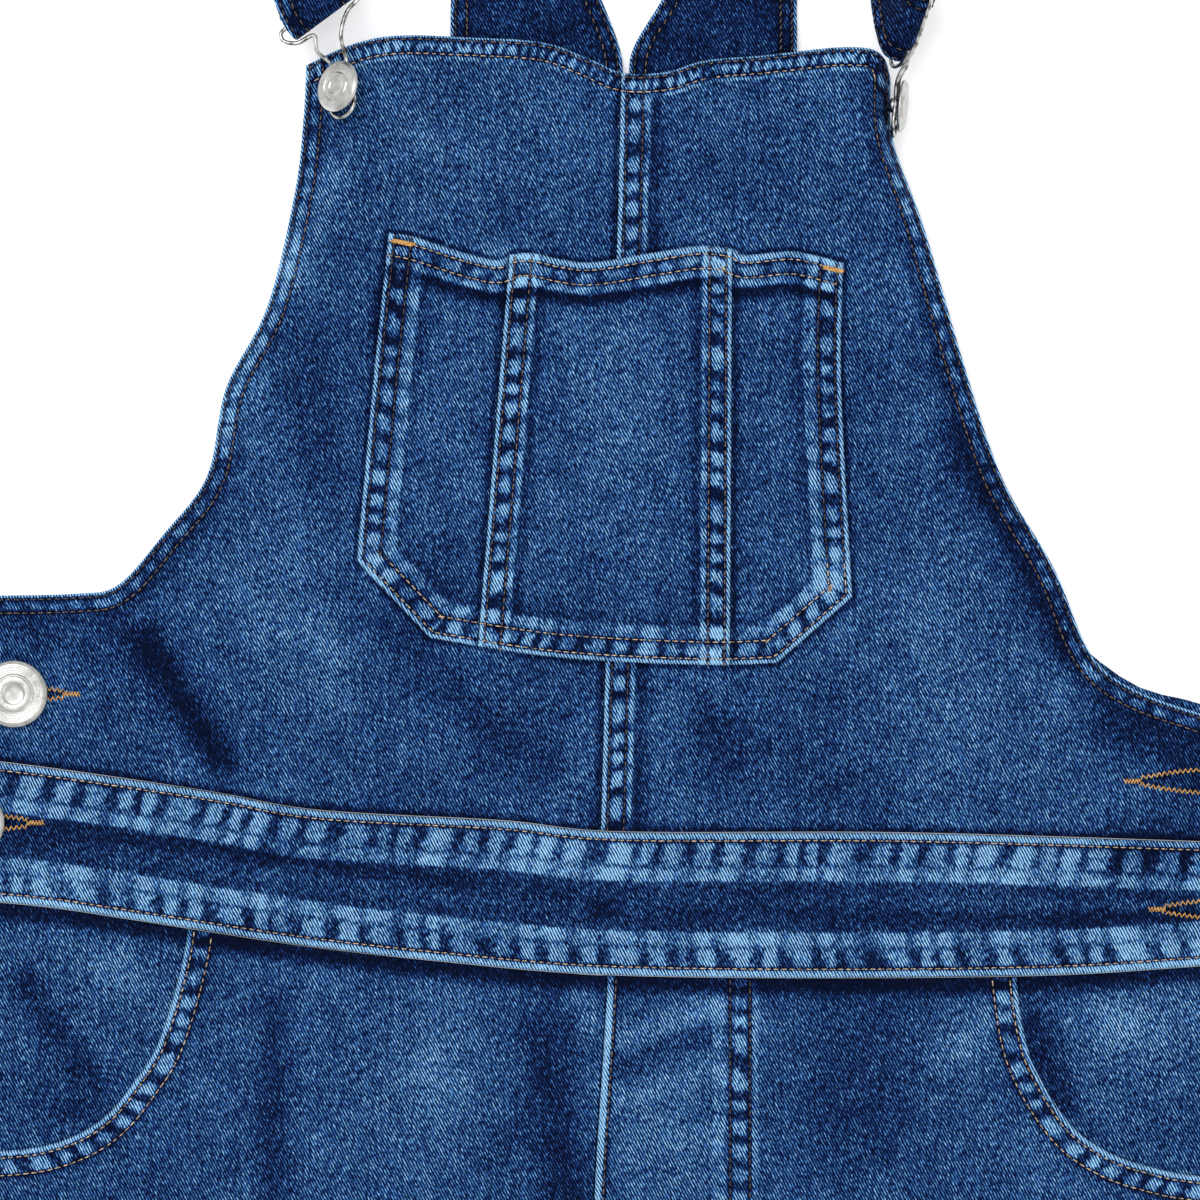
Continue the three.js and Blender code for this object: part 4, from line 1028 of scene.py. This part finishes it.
def legs():
    below = shifted(band_bottom, -EDGE)
    plans = [
        ("left", -1, left_side, left_inseam, left_scoop, side_left_seam),
        ("right", 1, right_side, right_inseam, right_scoop, side_right_seam)]
    fly_seam = Seam(fly, 1, 3.8, (Row(2.8, "brown"),), 67, 0.5, lip=1.4, patch=0, outer=1.0)
    fly_turn = Seam(fly_line(), -1, 14, (Row(2.4, "dark"), Row(8.4, "dark")), 71, 0.4, lip=0.5,
                    patch=0.9, inner=0.7)

    def beside_fly(inseam, seam, out):
        """A leg's inner edge from the waist down: (the part beside the fly, the inseam)."""
        inner = clip(inseam, right_of(inseam, seam) * out - EDGE)
        fold = seam + (out * EDGE, 0)
        fold = clip(fold, np.minimum(-over(fold, below), fold[:, 1] - inner[0, 1]))
        return fold[1:-1], inner

    for name, out, side, inseam, scoop, side_seam in plans:
        outward = right_of(scoop, side) * -out
        mouth = clip(scoop, np.minimum(-over(scoop, below), outward))
        flank = clip(side, mouth[-1, 1] - side[:, 1])
        fold, inner = beside_fly(inseam, fly, out)
        beside = out * (mouth[0, 0] - below[:, 0])
        waist = clip(below, np.minimum(right_of(below, fly) * out - EDGE, beside))
        hem = Seam(np.array([(-240.0, HEM_Y), (240.0, HEM_Y)]), 1, LEG_HEM,
                   (Row(2, "dark"), Row(14, "gold")), 73, inner=0.5, shade=0.4)
        seams = [
            Seam(scoop, -out, SCOOP_HEM, (Row(2.1, "gold"), Row(7.4, "gold")), 79, lip=1.25,
                 patch=1, wave=6.6),
            under_band, side_seam, hem,
            Seam(inseam, out, 8, (Row(1.5, "dark"), Row(6.6, "dark")), 83, 0.5, lip=0.7)]
        if out < 0:
            loop = np.vstack([waist[::-1], mouth[1:], flank[1:], inner[::-1], fold[::-1]])
        else:
            seams += [fly_turn, fly_seam]
            loop = np.vstack([inner, flank[::-1][:-1], mouth[::-1], waist[::-1][1:], fold])
        panel(f"front_leg_{name}_cloth", [f"front_leg_{name}"], loop, leg_under, seams)

        lining = shifted(scoop, -out * FACING_UNDER)
        outward = right_of(lining, side) * -out
        lining = clip(lining, np.minimum(-over(lining, below), outward))
        hip = clip(side, np.minimum(-over(side, below), side[:, 1] - lining[-1, 1]))
        waist = clip(below, np.minimum(out * (hip[0, 0] - below[:, 0]),
                                       out * (below[:, 0] - lining[0, 0])))
        if out < 0:
            loop = np.vstack([waist[::-1], hip[1:], lining[::-1][1:-1]])
        else:
            loop = np.vstack([lining, hip[::-1], waist[::-1][1:-1]])
        panel(f"hip_facing_{name}_cloth", [f"hip_facing_{name}"], loop, bib_under,
              (under_band, side_seam), slot_name="band_denim")

        behind = fly - (UNDERLAP, 0)
        fold, inner = beside_fly(inseam, behind, out)
        flank = clip(side, -over(side, below))
        waist = clip(below, np.minimum(right_of(below, behind) * out - EDGE,
                                       out * (flank[0, 0] - below[:, 0])))
        if out < 0:
            loop = np.vstack([waist[::-1], flank[1:], inner[::-1], fold[::-1]])
        else:
            loop = np.vstack([inner, flank[::-1], waist[::-1][1:], fold])
        panel(f"back_leg_{name}_cloth", [f"back_leg_{name}"], loop, on_floor, pitch=COARSE)


def backs():
    left, right = spline(BACK_LEFT), spline(BACK_RIGHT)
    sides = [clip(line, over(line, band_top) - EDGE) for line in (left_side, right_side)]
    foot = shifted(band_top, EDGE)
    foot = clip(foot, np.minimum(foot[:, 0] - sides[0][-1, 0], sides[1][-1, 0] - foot[:, 0]))
    flanks = [clip(line, shoulder - line[:, 1]) for line, shoulder in zip(sides, (67, 28))]
    loop = np.vstack([foot, flanks[1][::-1][1:], right, left, flanks[0][:-1]])
    panel("back_bib_cloth", ["back_bib"], loop, on_floor, pitch=COARSE)
    panel("back_waistband_cloth", ["back_waistband"], band_loop(), on_floor, pitch=COARSE,
          slot_name="band_denim")


# Straps and metal

def catmull(points, share):
    """A centripetal curve through points, at shares of its run."""
    p = np.asarray(points, float)
    at = np.clip(share, 0, 1) * (len(p) - 1)
    i = np.minimum(at.astype(int), len(p) - 2)
    t = (at - i)[:, None]
    padded = np.vstack([2 * p[0] - p[1], p, 2 * p[-1] - p[-2]])
    p0, p1, p2, p3 = (padded[i + k] for k in range(4))
    d0, d1, d2 = (np.sqrt(np.linalg.norm(b - a, axis=1))[:, None]
                  for a, b in ((p0, p1), (p1, p2), (p2, p3)))
    d1 = np.where(d1 < 1e-4, 1, d1)
    d0, d2 = np.where(d0 < 1e-4, d1, d0), np.where(d2 < 1e-4, d1, d2)
    v1 = ((p1 - p0) / d0 - (p2 - p0) / (d0 + d1) + (p2 - p1) / d1) * d1
    v2 = ((p2 - p1) / d1 - (p3 - p1) / (d1 + d2) + (p3 - p2) / d2) * d1
    return (p1 + v1 * t + (-3 * p1 + 3 * p2 - 2 * v1 - v2) * t ** 2
            + (2 * p1 - 2 * p2 + v1 + v2) * t ** 3)


def unit(v):
    return v / np.maximum(np.linalg.norm(v, axis=-1, keepdims=True), 1e-9)


def across_of(turn, lean):
    turn, lean = np.radians(turn), np.radians(lean)
    return np.stack([np.cos(turn) * np.cos(lean), np.sin(turn) * np.cos(lean),
                     np.sin(lean)], -1)


def bar_axes(bar):
    along = across_of(bar.turn, bar.lean)
    away = unit(np.array([0, 1, 0]) - along * along[1])
    return along, away, np.cross(along, away)


STRAP_INSETS = (0.0, 0.25, 0.6, 1.0, 1.6, 2.3, 3.0, 3.8, 4.3, 5.0, 5.7, 7.0, 8.5)
STRAP_ROWS = (Row(1.6, "dark"), Row(5.0, "brown"))


def strap(bar):
    along, away, out = bar_axes(bar)
    middle = np.array([bar.x, bar.y, bar.z])
    angles = np.radians(np.linspace(90, -190, 11))
    wrap = [middle + out * ROLL_RADIUS * math.sin(a) - away * ROLL_RADIUS * math.cos(a)
            for a in angles]
    poses = STRAP_RUNS[bar.name]
    places = [(p.x, p.y, p.z) for p in poses] + [tuple(w) for w in wrap]
    turns = [(p.width, p.turn, p.lean) for p in poses]
    turns += [(bar.length - ROLL_NARROWING, bar.turn, bar.lean)] * len(wrap)

    def at(share):
        centre = catmull(places, share)
        centre[:, 2] = np.maximum(centre[:, 2], STRAP_LAYER / 2)
        ahead, behind = catmull(places, share + 1e-4), catmull(places, share - 1e-4)
        pose = catmull(turns, share)
        over_it = across_of(pose[:, 1], pose[:, 2])
        face = unit(np.cross(over_it, unit(ahead - behind)))
        return centre, pose[:, 0], over_it, face

    probe = np.linspace(0, 1, 1200)
    centres = at(probe)[0]
    run = np.concatenate([[0], np.cumsum(np.linalg.norm(np.diff(centres, axis=0), axis=1))])
    length = run[-1]
    share = np.interp(np.linspace(0, length, round(length / STRAP_STEP)), run, probe)
    distance = np.interp(share, probe, run)
    centre, width, over_it, face = at(share)
    seed = 101 if bar.name == "left" else 131
    hems = [Seam(None, 1, STRAP_HEM, STRAP_ROWS, seed + k, 0, patch=0.5) for k in range(2)]

    def column(inset, from_left):
        """(offset across, half thickness, tone of worn places with painted groove shade) down the
        strap at a distance in from an edge.
        """
        seam = hems[0 if from_left else 1]
        raised, tone = seam_form(np.full_like(distance, inset), distance, seam)
        curl = 1 - min(inset / EDGE_ROUND, 1)
        half = (STRAP_LAYER / 2) * math.sqrt(1 - curl ** 2) + 0.5 * raised * (inset > 0.3)
        return (-1 if from_left else 1) * (width / 2 - inset), half, tone

    columns = [column(i, True) for i in STRAP_INSETS]
    flat = np.zeros_like(distance)
    for k in (-1, 0, 1):
        columns.append((k * (width / 2 - 8.5) / 2.2, flat + STRAP_LAYER / 2, flat))
    columns += [column(i, False) for i in STRAP_INSETS[::-1]]
    section, wear_and_shading_columns = [], []
    order = list(range(len(columns))) + list(range(len(columns) - 2, 0, -1))
    for n, k in enumerate(order):
        offset, half, tone = columns[k]
        up = 1 if n < len(columns) else -1
        half = flat if k in (0, len(columns) - 1) else half
        section.append(centre + over_it * offset[:, None] + face * (up * half)[:, None])
        wear_and_shading_columns.append(tone + STRAP_TONE)
    count = len(section)
    points = np.stack(section, 1)
    points[:, :, 2] = np.maximum(points[:, :, 2], 0)
    faces = []
    for i in range(len(share) - 1):
        a, b = i * count, (i + 1) * count
        faces += [(a + (k + 1) % count, b + (k + 1) % count, b + k, a + k)
                  for k in range(count)]
    last = (len(share) - 1) * count
    faces.append(tuple(range(count))[::-1])
    faces.append(tuple(last + k for k in range(count)))
    obj = mesh_object(f"strap_{bar.name}_cloth", points.reshape(-1, 3), faces,
                      {"fade": np.stack(wear_and_shading_columns, 1).ravel()})
    finish_piece(obj, [f"strap_{bar.name}"], MATERIALS["denim"])

    at_stitches = np.interp(np.arange(3, length - 3, STITCH_PITCH), run, probe)
    centre, width, over_it, face = at(at_stitches)
    tangent = np.gradient(centre, axis=0)
    for edge in (-1, 1):
        for row in STRAP_ROWS:
            for up in (-1, 1):
                spot = (centre + over_it * (edge * (width / 2 - row.inset))[:, None]
                        + face * up * (STRAP_LAYER / 2 + 0.02))
                clear = spot[:, 2] > 0.5
                STITCHES.append((row.thread, spot[clear], tangent[clear]))


def lathe(profile, steps):
    """(points, faces) of a profile of (radius, height) rows turned about z."""
    profile = np.array(profile, float)
    inner = profile[1:-1]
    angles = np.linspace(0, 2 * math.pi, steps, endpoint=False)
    rings = np.stack([
        np.outer(np.cos(angles), inner[:, 0]), np.outer(np.sin(angles), inner[:, 0]),
        np.tile(inner[:, 1], (steps, 1))], -1)
    verts = np.vstack([rings.reshape(-1, 3), [[0, 0, profile[0, 1]], [0, 0, profile[-1, 1]]]])
    n = len(inner)
    bottom, top = steps * n, steps * n + 1
    faces = []
    for i in range(steps):
        a, b = i * n, ((i + 1) % steps) * n
        faces += [(a + k, b + k, b + k + 1, a + k + 1) for k in range(n - 1)]
        faces += [(bottom, b, a), (top, a + n - 1, b + n - 1)]
    return verts, faces


def softened(profile, times=2):
    """A profile with its corners rounded and its ends kept."""
    p = np.array(profile, float)
    for _ in range(times):
        q = np.stack([0.8 * p[:-1] + 0.2 * p[1:], 0.2 * p[:-1] + 0.8 * p[1:]], 1)
        p = np.vstack([p[:1], q.reshape(-1, 2), p[-1:]])
    return p


def button_profile(radius, post):
    milled = [(radius * share, 1.86 + 0.05 * (k % 2)) for k, share in
              enumerate(np.linspace(0.88, 0.60, 13))]
    return softened([
        (0, -post), (2.3, -post), (2.3, 0), (radius - 0.5, 0), (radius, 0.5), (radius, 1.0),
        (radius - 1, 1.8), *milled, (radius * 0.56, 1.6), (radius * 0.5, 2),
        (radius * 0.34, 2), (radius * 0.28, 1.6), (0, 1.6)])


def buttons():
    for b in SIDE_BUTTONS:
        node = f"side_button_{b.name}"
        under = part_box(node)[1].z / MM - 2
        verts, faces = lathe(button_profile(SIDE_BUTTON, under - FRONT_BASE), 72)
        obj = mesh_object(f"{node}_metal", verts + [b.x, b.y, under], faces)
        finish_piece(obj, [node], MATERIALS["button_metal"])
    for c in BIB_CAPS:
        node = f"bib_button_{c.name}"
        face = unit(np.array(c.face, float))
        turn = np.array(Vector((0, 0, 1)).rotation_difference(Vector(face)).to_matrix())
        verts, faces = lathe(button_profile(BIB_BUTTON, 3), 64)
        place = np.array([c.x, c.y, c.z]) - 2 * face
        obj = mesh_object(f"{node}_metal", verts @ turn.T + place, faces)
        finish_piece(obj, [node], MATERIALS["button_metal"])


def tube(path, radius, sides=12):
    """(points, faces) of a closed round tube along a path."""
    tangent = unit(np.gradient(path, axis=0))
    normal = np.zeros_like(path)
    normal[0] = unit(np.cross(tangent[0], [0.3, 0.2, 1.0]))
    for i in range(1, len(path)):
        normal[i] = unit(normal[i - 1] - tangent[i] * (normal[i - 1] @ tangent[i]))
    side = np.cross(tangent, normal)
    angles = np.linspace(0, 2 * math.pi, sides, endpoint=False)
    rings = (path[:, None] + radius * (normal[:, None] * np.cos(angles)[:, None]
                                       + side[:, None] * np.sin(angles)[:, None]))
    faces = []
    for i in range(len(path) - 1):
        a, b = i * sides, (i + 1) * sides
        faces += [(a + k, a + (k + 1) % sides, b + (k + 1) % sides, b + k)
                  for k in range(sides)]
    last = (len(path) - 1) * sides
    faces += [tuple(range(sides))[::-1], tuple(last + k for k in range(sides))]
    return rings.reshape(-1, 3), faces


# The wire's bend round the strap's end: (share of the half bar, distance from the bar)
HOOK_SHOULDER = ((1, 0), (1.05, 2.2), (0.85, 5.2), (0.45, 6.5))


def hook(bar):
    """Two legs of wire from the bar's ends to a keyhole loop behind the button's cap."""
    cap = next(c for c in BIB_CAPS if c.name == bar.name)
    along, away, _ = bar_axes(bar)
    middle = np.array([bar.x, bar.y, bar.z])
    face = unit(np.array(cap.face, float))
    centre = np.array([cap.x, cap.y, cap.z]) - LOOP_BEHIND * face
    up = middle - centre
    up = unit(up - face * (up @ face))
    side = np.cross(up, face)
    side *= np.sign(side @ along) or 1

    def at(u, v, proud=0.0):
        return centre + side * u + up * v + face * proud

    def end(share, back=0.0):
        return middle + along * share * bar.length / 2 - away * back

    def leg(e):
        neck = at(NECK_HALF * e, NECK_HEIGHT)
        halfway = (end(0.45 * e, 7.5) + neck) / 2 + face * bar.proud - side * 0.9
        shoulder = [end(share * e, back) for share, back in HOOK_SHOULDER]
        return [*shoulder, halfway, neck + face * (bar.proud / 6), at(2.8 * e, 1)]

    loop = [at(LOOP_RADIUS * math.sin(a), LOOP_RADIUS * math.cos(a) - LOOP_DROP)
            for a in np.radians(np.linspace(50, 310, 11))]
    route = [end(0.02), end(0.6), *leg(1), *loop, *leg(-1)[::-1], end(-0.6), end(-0.02)]
    verts, faces = tube(catmull(route, np.linspace(0, 1, 320)), WIRE)
    obj = mesh_object(f"hook_{bar.name}_wire", verts, faces)
    finish_piece(obj, [f"hook_{bar.name}"], MATERIALS["wire_metal"])


# Stitches, laid by one node tree on a guide point for each

def bartacks():
    """Close stitches that hold the two ends of the pocket's mouth."""
    for a, b in BARTACKS:
        ends = array([a, b])
        line = resampled(ends, TACK_PITCH)
        along = unit(ends[1] - ends[0])
        across = np.array([-along[1], along[0]])
        wall = WALL + 0.8 * HEM_RISE + 0.2
        base, thick, _ = seen_top(pocket_under, wall, (), line)
        way = np.tile([*(across * 0.4 + along), 0.0], (len(line), 1))
        for sway in (-0.3, 0, 0.3):
            spot = np.column_stack([line + across * sway, base + thick])
            STITCHES.append(("tack", spot, way))


def zigzag(along, across, lean):
    """Ways that lean to one side of across and then to the other."""
    sway = np.where(np.arange(len(across)) % 2, lean, -lean)[:, None]
    return np.column_stack([across + along * sway, np.zeros(len(across))])


def hole_stitches():
    """A zigzag round each buttonhole, and a close bar past its tail."""
    for b in SIDE_BUTTONS:
        loop = buttonhole(b)
        closed = np.vstack([loop, loop[:1]])
        wall = WALL + (BAND_RISE if b.name.endswith("lower") else 0)
        line = resampled(closed, HOLE_PITCH)[:-1]
        ahead = np.roll(line, -1, axis=0) - np.roll(line, 1, axis=0)
        out = unit(np.column_stack([ahead[:, 1], -ahead[:, 0]]))
        tail = (line[:, 0] - b.x) * (b.tail_x - b.x) > 0
        line, out = line[tail], out[tail]
        spot = line + out * 0.75
        base, thick, _ = seen_top(bib_under, wall, (), spot)
        centres = np.column_stack([spot, base + thick + TACK_LIFT])
        along = np.column_stack([-out[:, 1], out[:, 0]])
        STITCHES.append(("tack", centres, zigzag(along, out, 0.6)))

        onward = math.copysign(1, b.tail_x - b.x)
        steps = np.arange(0, TAIL_BAR, TAIL_PITCH)
        spot = np.column_stack([b.tail_x + onward * steps, np.full_like(steps, b.y)])
        base, thick, _ = seen_top(bib_under, wall, (), spot)
        centres = np.column_stack([spot, base + thick + TACK_LIFT])
        upright = np.tile([0.0, 1.0], (len(spot), 1))
        level = np.tile([1.0, 0.0], (len(spot), 1))
        STITCHES.append(("tack", centres, zigzag(level, upright, 0.7)))


def stitch_tree():
    tree = bpy.data.node_groups.new("stitch_rows", "GeometryNodeTree")
    face = tree.interface
    face.new_socket("Geometry", in_out="INPUT", socket_type="NodeSocketGeometry")
    for label in ("Width", "Length"):
        face.new_socket(label, in_out="INPUT", socket_type="NodeSocketFloat")
    face.new_socket("Seed", in_out="INPUT", socket_type="NodeSocketInt")
    face.new_socket("Thread", in_out="INPUT", socket_type="NodeSocketMaterial")
    face.new_socket("Geometry", in_out="OUTPUT", socket_type="NodeSocketGeometry")
    add = tree.nodes.new
    link = tree.links.new
    given, result = add("NodeGroupInput"), add("NodeGroupOutput")
    ball = add("GeometryNodeMeshUVSphere")
    ball.inputs["Segments"].default_value = 6
    ball.inputs["Rings"].default_value = 4
    ball.inputs["Radius"].default_value = 0.5
    way = add("GeometryNodeInputNamedAttribute")
    way.data_type = "FLOAT_VECTOR"
    way.inputs["Name"].default_value = "way"
    aim = add("FunctionNodeAlignRotationToVector")
    aim.axis = "Z"
    link(way.outputs["Attribute"], aim.inputs["Vector"])
    jitter = add("FunctionNodeRandomValue")
    jitter.data_type = "FLOAT"
    jitter.inputs[2].default_value = 0.88
    jitter.inputs[3].default_value = 1.06
    link(given.outputs["Seed"], jitter.inputs["Seed"])
    long = add("ShaderNodeMath")
    long.operation = "MULTIPLY"
    link(given.outputs["Length"], long.inputs[0])
    link(jitter.outputs[1], long.inputs[1])
    size = add("ShaderNodeCombineXYZ")
    link(given.outputs["Width"], size.inputs["X"])
    link(given.outputs["Width"], size.inputs["Y"])
    link(long.outputs[0], size.inputs["Z"])
    lay = add("GeometryNodeInstanceOnPoints")
    points = add("GeometryNodeMeshToPoints")
    link(given.outputs["Geometry"], points.inputs["Mesh"])
    link(points.outputs["Points"], lay.inputs["Points"])
    link(ball.outputs["Mesh"], lay.inputs["Instance"])
    link(aim.outputs["Rotation"], lay.inputs["Rotation"])
    link(size.outputs[0], lay.inputs["Scale"])
    real = add("GeometryNodeRealizeInstances")
    link(lay.outputs["Instances"], real.inputs["Geometry"])
    rounded = add("GeometryNodeSetShadeSmooth")
    link(real.outputs["Geometry"], rounded.inputs["Geometry"])
    paint = add("GeometryNodeSetMaterial")
    link(rounded.outputs["Geometry"], paint.inputs["Geometry"])
    link(given.outputs["Thread"], paint.inputs["Material"])
    link(paint.outputs["Geometry"], result.inputs["Geometry"])
    return tree


def stitches():
    tree = stitch_tree()
    names = {item.name: item.identifier for item in tree.interface.items_tree
             if item.in_out == "INPUT"}
    for number, shade in enumerate(("gold", "tack", "brown", "dark")):
        rows = [(spots, ways) for kind, spots, ways in STITCHES if kind == shade]
        spots, ways = np.vstack([r[0] for r in rows]), np.vstack([r[1] for r in rows])
        guide = mesh_object(f"{shade}_guide", spots, [], {"way": unit(ways)})
        layer = guide.modifiers.new("rows", "NODES")
        layer.node_group = tree
        layer[names["Width"]] = STITCH_WIDTH * MM
        layer[names["Length"]] = STITCH_LENGTH * MM
        layer[names["Seed"]] = 7 + number
        layer[names["Thread"]] = MATERIALS[shade]
        shown = guide.evaluated_get(bpy.context.evaluated_depsgraph_get())
        mesh = bpy.data.meshes.new_from_object(shown)
        bpy.data.objects.remove(guide)
        obj = bpy.data.objects.new(f"stitches_{shade}", mesh)
        bpy.context.scene.collection.objects.link(obj)
        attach(obj, "root")


# The studio

def studio():
    mesh = bpy.data.meshes.new("floor")
    corners = [(-1, -1), (1, -1), (1, 1), (-1, 1)]
    mesh.from_pydata([(x * FLOOR_HALF, y * FLOOR_HALF, FLOOR_LEVEL) for x, y in corners],
                     [], [(0, 1, 2, 3)])
    floor = bpy.data.objects.new("floor", mesh)
    bpy.context.scene.collection.objects.link(floor)
    t = Tree("pale_floor")
    t.shader.inputs["Base Color"].default_value = (0.93, 0.93, 0.93, 1)
    t.shader.inputs["Roughness"].default_value = 0.9
    t.shader.inputs["Emission Color"].default_value = (1, 1, 1, 1)
    t.shader.inputs["Emission Strength"].default_value = 0.3
    mesh.materials.append(t.material)

    world = bpy.data.worlds.new("studio")
    world.use_nodes = True
    background = world.node_tree.nodes["Background"]
    background.inputs["Color"].default_value = (1, 1, 1, 1)
    background.inputs["Strength"].default_value = 0.85
    bpy.context.scene.world = world
    bpy.context.scene.view_settings.view_transform = "Standard"
    for name, place, size, power in (
            ("key", (-0.9, 1.1, 2.4), 1.6, 26), ("fill", (1.4, -0.8, 2.2), 2.0, 9)):
        light = bpy.data.lights.new(name, "AREA")
        light.size = size
        light.energy = power
        lamp = bpy.data.objects.new(name, light)
        lamp.location = place
        lamp.rotation_euler = Vector(place).to_track_quat("Z", "Y").to_euler()
        bpy.context.scene.collection.objects.link(lamp)


def camera():
    across = PHOTO_SIZE / PHOTO_SCALE
    middle = np.array([(PHOTO_SIZE / 2 - PHOTO_ZERO[0]) / PHOTO_SCALE,
                       (PHOTO_ZERO[1] - PHOTO_SIZE / 2) / PHOTO_SCALE,
                       CLOTH_LEVEL + CAMERA_HEIGHT])
    data = bpy.data.cameras.new("camera")
    data.sensor_width = SENSOR
    data.lens = SENSOR * CAMERA_HEIGHT / across
    obj = bpy.data.objects.new("camera", data)
    obj.location = placed(middle)
    bpy.context.scene.collection.objects.link(obj)
    bpy.context.scene.camera = obj


studio()
camera()
backs()
bibs()
waistband()
pocket()
legs()
for each in HOOK_BARS:
    strap(each)
    hook(each)
buttons()
bartacks()
hole_stitches()
stitches()
for side_name in ("left", "right"):
    slide = bpy.data.objects[f"strap_slide_{side_name}"]
    slide.material_slots[0].material = MATERIALS["wire_metal"]
